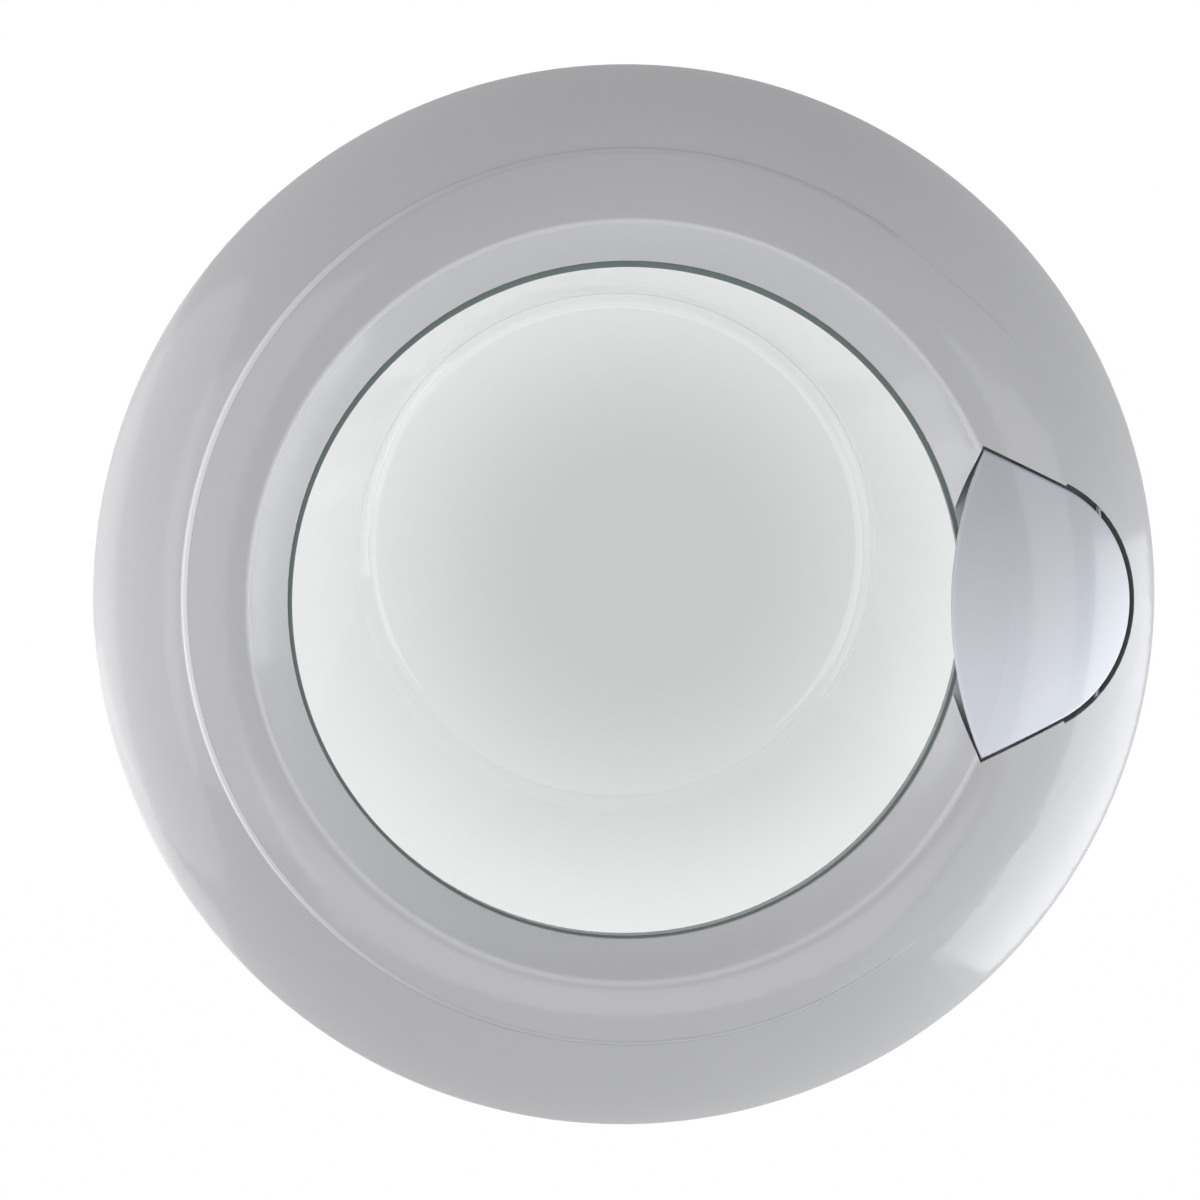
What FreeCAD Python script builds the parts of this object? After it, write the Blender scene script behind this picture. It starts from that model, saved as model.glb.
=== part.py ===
"""Front-loading washing machine door: moulded rings, glass bowl, sprung pull handle with hook, side hinge.

Each piece is drawn about the porthole's axis, which runs along Y through x = z = 0. The closing plane
is y = 0, and a height in front of it counts towards -Y. A placement then moves every piece so that the
origin is at the middle of the hinge bracket's cabinet holes. +Z is up and the face looks along -Y.
"""
import FreeCAD, Part
import math
import os
import re
import Sketcher
from FreeCAD import Placement, Rotation, Vector

# Driving dimensions in millimetres and degrees.
SIZES = {
    # Front ring
    "rim_radius": 230.0,
    "rim_height": 8.0,
    "rim_round": 2.5,
    "crest_height": 38.0,
    "bevel_width": 15.0,
    "crest_offset": 5.0,
    "bevel_round": 4.0,
    "opening_radius": 146.0,
    "lip_height": 17.0,
    "seat_height": 14.0,
    "seat_width": 4.5,
    "frame_wall": 3.2,
    "centring_gap": 0.3,
    "centring_rib_wall": 2.0,
    "cut_margin": 1.0,
    # Outer band of the front ring, a step lower than its face: the step is an arc round the left that flares
    # out past the handle
    "band_step": 1.5,
    "band_step_right": 0.27,
    "band_slope": 1.3,
    "band_slope_lap": 0.5,
    "band_share": 0.342,
    "band_centre": 1.2,
    "band_lift": 1.1,
    "band_flare_radius": 305.0,
    "band_flare_angle": 61.0,
    # Glass bowl
    "flange_lap": 11.0,
    "flange_thickness": 5.0,
    "bowl_wall": 5.0,
    "mouth_lap": 2.0,
    "bowl_draw_in": 28.0,
    "bowl_depth": 95.0,
    "bowl_rise": 19.0,
    "bowl_corner": 14.0,
    "bowl_crown": 6.0,
    "mouth_round": 1.2,
    # Handle and its recess
    "handle_corner_lap": 11.5,
    "handle_corner_z": 66.0,
    "handle_nose_radius": 54.5,
    "nose_rim_gap": 14.0,
    "handle_lip_bulge": 12.5,
    "handle_lip_drop": 5.0,
    "handle_wall": 2.8,
    "handle_edge_round": 1.4,
    "handle_sink": 0.1,
    "handle_gap": 1.1,
    "nose_gap": 2.3,
    "recess_wall": 3.5,
    "recess_inset": 5.0,
    "recess_floor_height": 9.0,
    "handle_pin_inset": 14.0,
    "handle_pin_cover": 7.8,
    "handle_pin_radius": 1.75,
    "handle_pin_seat": 3.0,
    "running_clearance": 0.05,
    "hub_wall": 1.6,
    "handle_lug_spacing": 42.0,
    "handle_lug_thickness": 5.0,
    "handle_lug_web": 14.0,
    "guard_inset": 17.0,
    "guard_wall": 2.5,
    "guard_width": 56.0,
    # Latch hook
    "hook_width": 12.0,
    "hook_shank": 7.0,
    "hook_reach": 24.0,
    "hook_throat": 12.0,
    "hook_nose": 7.5,
    "hook_nose_tip": 2.0,
    "hook_swing": 16.0,
    "hook_slot_gap": 1.5,
    "toe_reach": 8.0,
    "toe_depth": 0.9,
    "toe_thickness": 1.5,
    "toe_width": 9.0,
    # Torsion springs
    "spring_wire_radius": 0.5,
    "spring_gap": 0.3,
    "spring_turns": 5.0,
    "spring_pitch": 1.4,
    "spring_side_gap": 1.0,
    "handle_leg_lean": -6.0,
    "hook_leg_lean": 8.0,
    # Rear ring
    "rear_gap": 0.5,
    "rear_wall": 2.5,
    "ridge_foot_share": 0.425,
    "ridge_top_share": 0.2875,
    "ridge_depth": 12.0,
    "ridge_round": 2.0,
    "collar_gap": 2.0,
    "collar_wall": 3.0,
    "collar_taper": 3.5,
    # Screws that join the rings
    "screw_inset": 30.0,
    "screw_count": 8.0,
    "screw_radius": 1.75,
    "screw_length": 16.0,
    "screw_head_radius": 4.0,
    "screw_head_height": 2.4,
    "screw_clearance": 0.3,
    "cross_reach": 2.3,
    "cross_half": 0.5,
    "cross_depth": 1.2,
    "well_depth": 5.0,
    "well_floor": 2.0,
    "well_wall": 2.0,
    "boss_wall": 3.0,
    # Hinge
    "hinge_inset": 14.0,
    "hinge_depth": 2.0,
    "hinge_pin_radius": 3.0,
    "hinge_pin_head": 2.0,
    "hinge_pin_tail": 3.0,
    "bush_wall": 1.5,
    "bush_length": 12.0,
    "bush_flange": 0.8,
    "knuckle_radius": 6.5,
    "knuckle_length": 64.0,
    "bracket_lug_gap": 1.0,
    "bracket_lug_height": 7.0,
    "bracket_lug_turn": 70.0,
    "plate_offset": 10.0,
    "plate_tuck": 4.0,
    "plate_height": 92.0,
    "plate_thickness": 3.0,
    "plate_standoff": 9.0,
    "mount_hole_radius": 3.2,
    "mount_hole_spacing": 48.0,
    "leaf_thickness": 4.0,
    "leaf_gap": 0.5,
    "leaf_margin": 10.7,
    "leaf_height": 60.0,
    "leaf_corner": 8.0,
    "arm_screw_radius": 2.1,
    "arm_screw_length": 14.0,
    "arm_screw_head_radius": 4.2,
    "arm_screw_spread": 20.0,
    "arm_screw_share": 0.39,
    "arm_screw_inset": 8.0,
    "clip_radius": 5.2,
    "clip_thickness": 0.8,
    "clip_groove_depth": 0.6,
    "clip_play": 0.1,
    "clip_mouth_share": 0.8,
}

# Values worked out from the sizes, in the order in which they depend on each other.
DERIVED = {
    "bevel_radius": "opening_radius + bevel_width",
    "crest_radius": "bevel_radius + crest_offset",
    "dome_radius": "((rim_radius - crest_radius)^2 + (crest_height - rim_height)^2)"
                   " / (2 * (crest_height - rim_height))",
    "dome_base": "crest_height - dome_radius",
    "above_crest": "crest_height + 2 * frame_wall",
    "bevel_height": "dome_base + sqrt(dome_radius^2 - (bevel_radius - crest_radius)^2)",
    "bevel_slope": "(bevel_height - lip_height) / (bevel_radius - opening_radius)",
    "bevel_wall_run": "frame_wall * sqrt(1 + bevel_slope^2) / bevel_slope",
    "band_radius": "crest_radius + band_share * (rim_radius - crest_radius)",
    "band_sink": "(band_step + band_step_right) / 2",
    "band_fade": "atan((band_step - band_step_right) / (2 * band_radius)) / 1deg",
    "band_top": "dome_base + sqrt(dome_radius^2 - (band_radius - crest_radius)^2)",
    "band_foot": "band_top - 3 * band_step",
    "flange_back": "seat_height - flange_thickness",
    "flange_radius": "opening_radius + flange_lap",
    "rib_inside": "flange_radius + centring_gap",
    "rib_outside": "rib_inside + centring_rib_wall",
    # Bowl: its taper, and the ring and depth about which its corner is rounded
    "bowl_mouth_radius": "opening_radius + mouth_lap",
    "bowl_end_radius": "bowl_mouth_radius - bowl_draw_in",
    "bowl_taper": "atan((bowl_mouth_radius - bowl_end_radius) / (bowl_depth + flange_back)) / 1deg",
    "corner_depth": "bowl_depth - bowl_corner",
    "corner_ring": "bowl_mouth_radius - (corner_depth + flange_back) * tan(bowl_taper)"
                   " - bowl_corner / cos(bowl_taper)",
    # Handle's outline: a nose arc with two tangent sides that run out to the corners
    "handle_corner_x": "bevel_radius - handle_corner_lap",
    "handle_nose_centre": "rim_radius - nose_rim_gap - handle_nose_radius",
    "side_angle": "(atan2(handle_corner_z; handle_corner_x - handle_nose_centre)"
                  " - acos(handle_nose_radius"
                  " / hypot(handle_corner_x - handle_nose_centre; handle_corner_z))) / 1deg",
    "lip_arc_radius": "(handle_corner_z^2 + handle_lip_bulge^2) / (2 * handle_lip_bulge)",
    "nose_tip": "handle_nose_centre + handle_nose_radius",
    "tub_gap": "nose_gap + recess_wall",
    "recess_left": "rib_outside + recess_inset",
    # Handle's pin
    "pin_x": "nose_tip - handle_pin_inset",
    "pin_height": "dome_base + sqrt(dome_radius^2 - (pin_x - crest_radius)^2) - handle_pin_cover",
    "pin_bore": "handle_pin_radius + running_clearance",
    "hub_radius": "pin_bore + hub_wall",
    "pin_wall": "sqrt((handle_nose_radius + nose_gap)^2 - (pin_x - handle_nose_centre)^2)",
    "pin_wall_back": "sqrt((handle_nose_radius + tub_gap)^2 - (pin_x - handle_nose_centre)^2)",
    "coil_radius": "handle_pin_radius + spring_gap + spring_wire_radius",
    "coil_start": "hook_width / 2 + spring_side_gap + spring_wire_radius",
    "hook_sweep": "(pin_height + rear_wall) * sin(hook_swing)",
    "slot_left": "pin_x - hook_shank / 2 - hook_sweep - hook_slot_gap",
    "slot_half": "hook_width / 2 + hook_slot_gap",
    "guard_height": "pin_height - coil_radius - spring_wire_radius - spring_gap",
    # Rear ring: its ridge lies between the collar and the rim
    "collar_radius": "bowl_mouth_radius + collar_gap",
    "ridge_foot_radius": "collar_radius + ridge_foot_share * (rim_radius - collar_radius)",
    "ridge_top_radius": "collar_radius + ridge_top_share * (rim_radius - collar_radius)",
    # Screws
    "screw_circle": "rim_radius - screw_inset",
    "screw_hole": "screw_radius + screw_clearance",
    "well_radius": "screw_head_radius + 2 * screw_clearance",
    "boss_radius": "screw_radius + boss_wall",
    # Hinge, measured from its own axis
    "hinge_x": "-(rim_radius - hinge_inset)",
    "knuckle_end": "knuckle_length / 2",
    "bracket_lug_start": "knuckle_end + bracket_lug_gap",
    "bracket_lug_end": "bracket_lug_start + bracket_lug_height",
    "bush_radius": "hinge_pin_radius + running_clearance + bush_wall",
    "leaf_back": "rear_wall + leaf_gap",
    "leaf_front": "leaf_back + leaf_thickness",
    "leaf_length": "-hinge_x - rib_outside - leaf_margin",
    "plate_width": "-hinge_x - plate_offset - (ridge_foot_radius - plate_tuck)",
    "arm_screw_x": "hinge_x + leaf_length - arm_screw_inset",
    "arm_boss_radius": "arm_screw_radius + boss_wall",
    # From the porthole's axis and closing plane to the middle of the cabinet holes
    "mount_x": "hinge_x + plate_offset + plate_width / 2",
    "mount_y": "hinge_depth + plate_standoff",
}

doc = FreeCAD.newDocument("WashingMachineDoor")
sheet = doc.addObject("Spreadsheet::Sheet", "Sizes")
derived = doc.addObject("App::VarSet", "Derived")
sub_parts = []

# Two places closer than this are one, in millimetres.
SAME_PLACE = 0.01


def bound(text):
    """The expression with each name pointing at its cell or its worked-out value."""
    def point(match):
        word = match.group()
        if word in SIZES:
            return "Sizes." + word
        return "Derived." + word if word in DERIVED else word
    return re.sub(r"[a-z_]+", point, text)


def value(text):
    """The number that an expression has now."""
    result = sheet.evalExpression(bound(text))
    return float(getattr(result, "Value", result))


def bind(thing, prop, text):
    """Tie one property to an expression."""
    thing.setExpression(prop, bound(text))


def fill_values():
    """Write the driving dimensions into the sheet and the worked-out values beside it."""
    for row, (name, number) in enumerate(SIZES.items(), start=1):
        sheet.set(f"A{row}", name)
        sheet.set(f"B{row}", str(number))
        sheet.setAlias(f"B{row}", name)
    doc.recompute()
    for name, text in DERIVED.items():
        derived.addProperty("App::PropertyFloat", name, "Derived")
        bind(derived, name, text)
        doc.recompute()


# Sketches

def new_sketch(body, name, role, lift="0"):
    """A sketch on one of the body's origin planes, lifted along the plane's normal."""
    sketch = body.newObject("Sketcher::SketchObject", name)
    plane = next(item for item in body.Origin.OriginFeatures if item.Role == role)
    sketch.AttachmentSupport = [(plane, "")]
    sketch.MapMode = "FlatFace"
    bind(sketch, "AttachmentOffset.Base.z", lift)
    return sketch


def fix_point(sketch, geometry, end, x, y):
    """Hold a point of the sketch at two expressions."""
    for kind, text, axis in (("DistanceX", x, -2), ("DistanceY", y, -1)):
        if text == "0":
            sketch.addConstraint(Sketcher.Constraint("PointOnObject", geometry, end, axis))
            continue
        index = sketch.addConstraint(Sketcher.Constraint(kind, -1, 1, geometry, end, value(text)))
        bind(sketch, f"Constraints[{index}]", text)


def arc_between(start, finish, radius):
    """The short arc from start to finish, clockwise for a negative radius."""
    chord = finish - start
    side = Vector(-chord.y, chord.x, 0).normalize()
    height = math.sqrt(max(radius ** 2 - (chord.Length / 2) ** 2, 0))
    centre = (start + finish) / 2 + side * math.copysign(height, radius)
    first, last = (start, finish) if radius > 0 else (finish, start)
    turn = [math.atan2(point.y - centre.y, point.x - centre.x) for point in (first, last)]
    return Part.ArcOfCircle(Part.Circle(centre, Vector(0, 0, 1), abs(radius)), *turn)


def draw_loop(sketch, corners):
    """A closed outline. A corner is (x, y), or (x, y, radius) where an arc runs to the next corner."""
    places = [Vector(value(corner[0]), value(corner[1]), 0) for corner in corners]
    ends = []
    for number, corner in enumerate(corners):
        start, finish = places[number], places[(number + 1) % len(corners)]
        if len(corner) == 3:
            radius = value(corner[2])
            edge = sketch.addGeometry(arc_between(start, finish, radius), False)
            ends.append((edge, 1, 2) if radius > 0 else (edge, 2, 1))
        else:
            edge = sketch.addGeometry(Part.LineSegment(start, finish), False)
            ends.append((edge, 1, 2))
    for number, (edge, start, finish) in enumerate(ends):
        following = ends[(number + 1) % len(ends)]
        sketch.addConstraint(Sketcher.Constraint("Coincident", edge, finish, following[0], following[1]))
        fix_point(sketch, edge, start, corners[number][0], corners[number][1])
        if len(corners[number]) == 3:
            radius = corners[number][2].lstrip("-")
            index = sketch.addConstraint(Sketcher.Constraint("Radius", edge, value(radius)))
            bind(sketch, f"Constraints[{index}]", radius)


def draw_circle(sketch, x, y, radius):
    """A circle with its centre and radius bound."""
    centre = Vector(value(x), value(y), 0)
    edge = sketch.addGeometry(Part.Circle(centre, Vector(0, 0, 1), value(radius)), False)
    fix_point(sketch, edge, 3, x, y)
    index = sketch.addConstraint(Sketcher.Constraint("Radius", edge, value(radius)))
    bind(sketch, f"Constraints[{index}]", radius)


def draw_box(sketch, left, right, low, high):
    """A rectangle from four expressions."""
    draw_loop(sketch, [(left, low), (right, low), (right, high), (left, high)])


# Features

def new_body(name):
    """An empty body."""
    return doc.addObject("PartDesign::Body", name)


def revolve(body, name, corners):
    """Turn an outline, given as radius and height in front, about the porthole's axis."""
    sketch = new_sketch(body, name + "_profile", "XY_Plane")
    draw_loop(sketch, corners)
    feature = body.newObject("PartDesign::Revolution", name)
    feature.Profile = sketch
    feature.ReferenceAxis = (sketch, ["V_Axis"])
    feature.Angle = 360
    return feature


def pad(body, name, sketch, length):
    """Extrude a sketch along its normal."""
    feature = body.newObject("PartDesign::Pad", name)
    feature.Profile = sketch
    bind(feature, "Length", length)
    return feature


def front_prism(name, draw, start, finish):
    """A body extruded along the porthole's axis, between two heights in front of the closing plane."""
    body = new_body(name)
    sketch = new_sketch(body, name + "_outline", "XZ_Plane", start)
    draw(sketch)
    pad(body, name + "_pad", sketch, f"({finish}) - ({start})")
    return body


def upright_prism(name, draw, low, high):
    """A body extruded along Z between two heights."""
    body = new_body(name)
    sketch = new_sketch(body, name + "_outline", "XY_Plane", low)
    draw(sketch)
    pad(body, name + "_pad", sketch, f"({high}) - ({low})")
    return body


def upright_rod(name, x, y, radius, low, high):
    """A cylinder along Z."""
    rod = doc.addObject("Part::Cylinder", name)
    bind(rod, "Radius", radius)
    bind(rod, "Height", f"({high}) - ({low})")
    bind(rod, "Placement.Base.x", x)
    bind(rod, "Placement.Base.y", y)
    bind(rod, "Placement.Base.z", low)
    return rod


def fuse(name, *shapes):
    """One solid out of several."""
    joined = doc.addObject("Part::MultiFuse", name)
    joined.Shapes = list(shapes)
    return joined


def cut(name, base, tool):
    """The base without the tool."""
    result = doc.addObject("Part::Cut", name)
    result.Base = base
    result.Tool = tool
    return result


def common(name, base, tool):
    """What two solids share."""
    result = doc.addObject("Part::Common", name)
    result.Base = base
    result.Tool = tool
    return result


def round_circles(body, name, places, radius):
    """Round the circular edges that lie at the given radii and heights in front."""
    doc.recompute()
    base = body.Tip
    wanted = [(value(ring), value(height)) for ring, height in places]
    names = []
    for number, edge in enumerate(base.Shape.Edges, start=1):
        if not isinstance(edge.Curve, Part.Circle):
            continue
        found = (edge.Curve.Radius, -edge.Curve.Center.y)
        if any(math.dist(found, place) < SAME_PLACE for place in wanted):
            names.append(f"Edge{number}")
    feature = body.newObject("PartDesign::Fillet", name)
    feature.Base = (base, names)
    bind(feature, "Radius", radius)
    return feature


def edge_points(base):
    """The number of each edge of a shape, with three points along it."""
    for number, edge in enumerate(base.Shape.Edges, start=1):
        span = edge.LastParameter - edge.FirstParameter
        yield number, [edge.valueAt(edge.FirstParameter + share * span) for share in (0.1, 0.5, 0.9)]


def round_edges(name, base, numbers, radius):
    """The base with the numbered edges rounded."""
    rounded = doc.addObject("Part::Fillet", name)
    rounded.Base = base
    rounded.Edges = [(number, value(radius), value(radius)) for number in numbers]
    return rounded


def finish(thing, label, x="0", y="0", z="0"):
    """Name a finished sub-part and move it from its place on the door into the door's own frame."""
    thing.Label = label
    bind(thing, "Placement.Base.x", f"{x} - mount_x")
    bind(thing, "Placement.Base.y", f"{y} - mount_y")
    bind(thing, "Placement.Base.z", z)
    sub_parts.append(thing)


# Shared forms

def dome_height(radius, under="0"):
    """Height of the ring's domed face at a radius, or of a face that lies under it."""
    return f"dome_base + sqrt((dome_radius - ({under}))^2 - ({radius} - crest_radius)^2)"


def bevel_back(radius):
    """Height of the bevel's inner face at a radius."""
    return f"lip_height + ({radius} - opening_radius - bevel_wall_run) * bevel_slope"


def at(radius, height, *arc):
    """A corner of a turned outline: a radius, and a height in front of the closing plane.

    Heights run against the sketch's own axis, so an arc turns the other way there.
    """
    turned = [text[1:] if text.startswith("-") else f"-({text})" for text in arc]
    return (radius, f"-({height})", *turned)


def recess_outline(side_gap, nose_gap_here, left=None):
    """The handle's outline with a gap all round, along the handle's lip or with a straight left edge."""
    def draw(sketch):
        side = f"handle_nose_radius + ({side_gap})"
        nose = f"handle_nose_radius + ({nose_gap_here})"
        if left:
            reach = f"({left} - handle_nose_centre) * cos(side_angle)"
            upper = [(left, f"({side} - {reach}) / sin(side_angle)")]
        else:
            upper = [(f"handle_corner_x + ({side_gap}) * (cos(side_angle) - sin(side_angle))",
                      f"handle_corner_z + ({side_gap}) * (cos(side_angle) + sin(side_angle))")]
        if side_gap != nose_gap_here:
            upper.append((f"handle_nose_centre + ({side}) * cos(side_angle)", f"({side}) * sin(side_angle)"))
        upper.append((f"handle_nose_centre + ({nose}) * cos(side_angle)", f"({nose}) * sin(side_angle)"))
        lower = [(x, f"-({z})") for x, z in reversed(upper)]
        upper[-1] = (*upper[-1], f"-({nose})")
        if not left:
            lower[-1] = (*lower[-1], "-lip_arc_radius")
        draw_loop(sketch, upper + lower)
    return draw


def inner_core():
    """The space under the ring's face and band, into their wall: it trims what stands inside."""
    half = "(frame_wall + band_step) / 2"
    inside = "opening_radius + frame_wall"
    edge = f"bevel_radius + {half}"
    outside = f"rim_radius - {half}"
    body = new_body("inner_core")
    revolve(body, "inner_core_turn", [
        at(inside, "0"),
        at(inside, f"lip_height + ({inside} - opening_radius - bevel_wall_run / 2) * bevel_slope"),
        at(edge, dome_height(edge, half), f"-(dome_radius - {half})"),
        at(outside, dome_height(outside, half)),
        at(outside, "0"),
    ])
    return body


def screw_angles():
    """The angles of the ring screws, spaced evenly and clear of hinge and handle."""
    count = round(value("screw_count"))
    return [f"360 * ({number} + 0.5) / screw_count" for number in range(count)]


def arm_screw_places():
    """Places of the hinge leaf's screws: two beside the knuckle and one at the leaf's end."""
    near = "hinge_x + arm_screw_share * leaf_length"
    return [(near, "arm_screw_spread"), (near, "-arm_screw_spread"), ("arm_screw_x", "0")]


def draw_ring_circles(radius):
    """A circle at each ring screw."""
    def draw(sketch):
        for angle in screw_angles():
            draw_circle(sketch, f"screw_circle * cos({angle})", f"screw_circle * sin({angle})", radius)
    return draw


def draw_ring_bars(across, up):
    """A bar at each ring screw, from its half sizes across and up."""
    def draw(sketch):
        for angle in screw_angles():
            x = f"screw_circle * cos({angle})"
            z = f"screw_circle * sin({angle})"
            draw_box(sketch, f"{x} - {across}", f"{x} + {across}", f"{z} - {up}", f"{z} + {up}")
    return draw


def draw_arm_circles(radius):
    """A circle at each hinge leaf screw."""
    def draw(sketch):
        for x, z in arm_screw_places():
            draw_circle(sketch, x, z, radius)
    return draw


# Front ring

def front_shell():
    """The ring's wall: rim, dome, bevel and lip, with the rib that centres the glass."""
    seat_outside = "opening_radius + seat_width"
    inner_rim = "rim_radius - frame_wall"
    body = new_body("front_shell")
    revolve(body, "front_shell_turn", [
        at("opening_radius", "seat_height"),
        at("opening_radius", "lip_height"),
        at("bevel_radius", "bevel_height", "-dome_radius"),
        at("rim_radius", "rim_height"),
        at("rim_radius", "0"),
        at(inner_rim, "0"),
        at(inner_rim, dome_height(inner_rim, "frame_wall"), "dome_radius - frame_wall"),
        at("crest_radius", "crest_height - frame_wall"),
        at("rib_outside", bevel_back("rib_outside")),
        at("rib_outside", "flange_back"),
        at("rib_inside", "flange_back"),
        at("rib_inside", bevel_back("rib_inside")),
        at(seat_outside, bevel_back(seat_outside)),
        at(seat_outside, "seat_height"),
    ])
    round_circles(body, "bevel_rounding", [("bevel_radius", "bevel_height")], "bevel_round")
    return body


def above_band():
    """What is cut away over the outer band: deepest at the hinge, and dying out beside the handle."""
    inside = "opening_radius - frame_wall"
    outside = "rim_radius + frame_wall"
    past_rim = "rim_radius + cut_margin / 2"
    edge = dome_height(past_rim, "band_sink")
    body = new_body("band_layer")
    feature = revolve(body, "band_layer_turn", [
        at(inside, "above_crest"),
        at(inside, dome_height(inside, "band_sink"), "-(dome_radius - band_sink)"),
        at(past_rim, edge),
        at(outside, edge),
        at(outside, "above_crest"),
    ])
    tilted = feature.Profile[0]
    tilted.AttachmentOffset = Placement(Vector(), Rotation(Vector(0, 0, 1), 0))
    bind(tilted, "AttachmentOffset.Rotation.Angle", "-band_fade")
    outline = front_prism("band_edge", draw_band_edge, "0", "above_crest")
    inside_rim = along_axis("Part::Cylinder", "inside_rim", "0")
    bind(inside_rim, "Radius", "rim_radius - 2 * rim_round")
    bind(inside_rim, "Height", "above_crest")
    face = common("inside_step", fuse("whole_step", outline, band_slope()), inside_rim)
    return cut("above_band", body, face)


def along_axis(kind, name, height):
    """A solid of the given kind, set up along the door's axis from the given height."""
    solid = doc.addObject(kind, name)
    solid.Placement = Placement(Vector(), Rotation(Vector(1, 0, 0), 90))
    bind(solid, "Placement.Base.y", f"-({height})")
    return solid


def band_slope():
    """A cone round the porthole whose side is the step's sloping wall."""
    cone = along_axis("Part::Cone", "band_slope", "band_foot")
    wide = "band_radius + band_slope_lap"
    bind(cone, "Radius1", f"{wide} + (band_top - band_foot) * band_slope")
    bind(cone, "Radius2", f"{wide} - (above_crest - band_top) * band_slope")
    bind(cone, "Height", "above_crest - band_foot")
    bind(cone, "Placement.Base.x", "band_centre")
    bind(cone, "Placement.Base.z", "band_lift")
    return cone


def draw_band_edge(sketch):
    """The band's inner edge: its circle round the left, then two wider arcs that meet at the right."""
    turn_x = "band_centre + band_radius * cos(band_flare_angle)"
    turn_z = "band_radius * sin(band_flare_angle)"
    flare_x = "band_centre + (band_radius - band_flare_radius) * cos(band_flare_angle)"
    flare_z = "(band_radius - band_flare_radius) * sin(band_flare_angle)"
    draw_loop(sketch, [
        ("band_centre - band_radius", "band_lift", "-band_radius"),
        (turn_x, f"band_lift + {turn_z}", "-band_flare_radius"),
        (f"{flare_x} + sqrt(band_flare_radius^2 - ({flare_z})^2)", "band_lift", "-band_flare_radius"),
        (turn_x, f"band_lift - {turn_z}", "-band_radius"),
    ])


def round_rim(base):
    """Round the band's outer edge."""
    doc.recompute()
    rim = value("rim_radius")
    lowest = value("rim_height / 2")
    numbers = []
    for number, points in edge_points(base):
        on_rim = all(abs(math.hypot(point.x, point.z) - rim) < SAME_PLACE for point in points)
        if on_rim and all(-point.y > lowest for point in points):
            numbers.append(number)
    return round_edges("rim_rounding", base, numbers, "rim_round")


def front_frame(core):
    """The front ring with its handle recess, screw bosses and the holes for pins and screws."""
    under = "recess_floor_height - recess_wall"
    face = round_rim(cut("stepped_shell", front_shell(), above_band()))
    inside = common("inside_forms", fuse(
        "inside_blocks",
        front_prism("tub_mouth", recess_outline("tub_gap", "tub_gap"), "seat_height", "above_crest"),
        front_prism("tub", recess_outline("tub_gap", "tub_gap", "recess_left - recess_wall"),
                    under, "above_crest"),
        front_prism("ring_bosses", draw_ring_circles("boss_radius"), "well_depth", "above_crest"),
        front_prism("arm_bosses", draw_arm_circles("arm_boss_radius"), "leaf_front", "above_crest"),
    ), core)
    slot_right = "pin_x + hook_shank / 2 + hook_slot_gap"
    holes = fuse(
        "front_holes",
        front_prism("recess_mouth", recess_outline("handle_gap", "nose_gap"), "lip_height", "above_crest"),
        front_prism("recess", recess_outline("handle_gap", "nose_gap", "recess_left"),
                    "recess_floor_height", "above_crest"),
        front_prism("floor_slot", lambda sketch: draw_box(
            sketch, "slot_left", slot_right, "-slot_half", "slot_half"),
            f"{under} - cut_margin", "recess_floor_height + cut_margin"),
        upright_rod("pin_holes", "pin_x", "-pin_height", "pin_bore",
                    "-pin_wall_back - cut_margin", "pin_wall_back + cut_margin"),
        front_prism("ring_pilots", draw_ring_circles("screw_radius"), "0", "well_floor + screw_length"),
        front_prism("arm_pilots", draw_arm_circles("arm_screw_radius"), "0", "leaf_back + arm_screw_length"),
    )
    guard_left = "pin_x - guard_inset"
    guard = front_prism("spring_guard", lambda sketch: draw_box(
        sketch, guard_left, f"{guard_left} + guard_wall", "-guard_width / 2", "guard_width / 2"),
        "recess_floor_height - recess_wall / 2", "guard_height")
    hollowed = cut("front_cut", fuse("front_solid", face, inside), holes)
    finish(fuse("front_frame", hollowed, guard), "front_frame")


# Glass

def bowl_section():
    """The bowl's wall as a turned form: tapered side, rounded corner and slightly crowned end."""
    inner_corner = "(bowl_corner - bowl_wall)"
    crown_radius = "(corner_ring + bowl_corner * sin(bowl_crown)) / sin(bowl_crown)"
    apex = f"corner_depth + bowl_corner * cos(bowl_crown) + {crown_radius} * (1 - cos(bowl_crown))"
    side_at_seat = "bowl_mouth_radius + flange_thickness * tan(bowl_taper)"
    inside_at_seat = f"{side_at_seat} - bowl_wall / cos(bowl_taper)"
    body = new_body("bowl_section")
    revolve(body, "bowl_turn", [
        at(f"{inside_at_seat} + mouth_round", "seat_height"),
        at(side_at_seat, "seat_height"),
        at("corner_ring + bowl_corner * cos(bowl_taper)", "-(corner_depth + bowl_corner * sin(bowl_taper))",
           "-bowl_corner"),
        at("corner_ring + bowl_corner * sin(bowl_crown)", "-(corner_depth + bowl_corner * cos(bowl_crown))",
           f"-({crown_radius})"),
        at("0", f"-({apex})"),
        at("0", f"-({apex} - bowl_wall)", f"({crown_radius} - bowl_wall)"),
        at(f"corner_ring + {inner_corner} * sin(bowl_crown)",
           f"-(corner_depth + {inner_corner} * cos(bowl_crown))", inner_corner),
        at(f"corner_ring + {inner_corner} * cos(bowl_taper)",
           f"-(corner_depth + {inner_corner} * sin(bowl_taper))"),
        at(f"{inside_at_seat} - mouth_round * tan(bowl_taper)", "seat_height - mouth_round", "mouth_round"),
    ])
    return body


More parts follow.
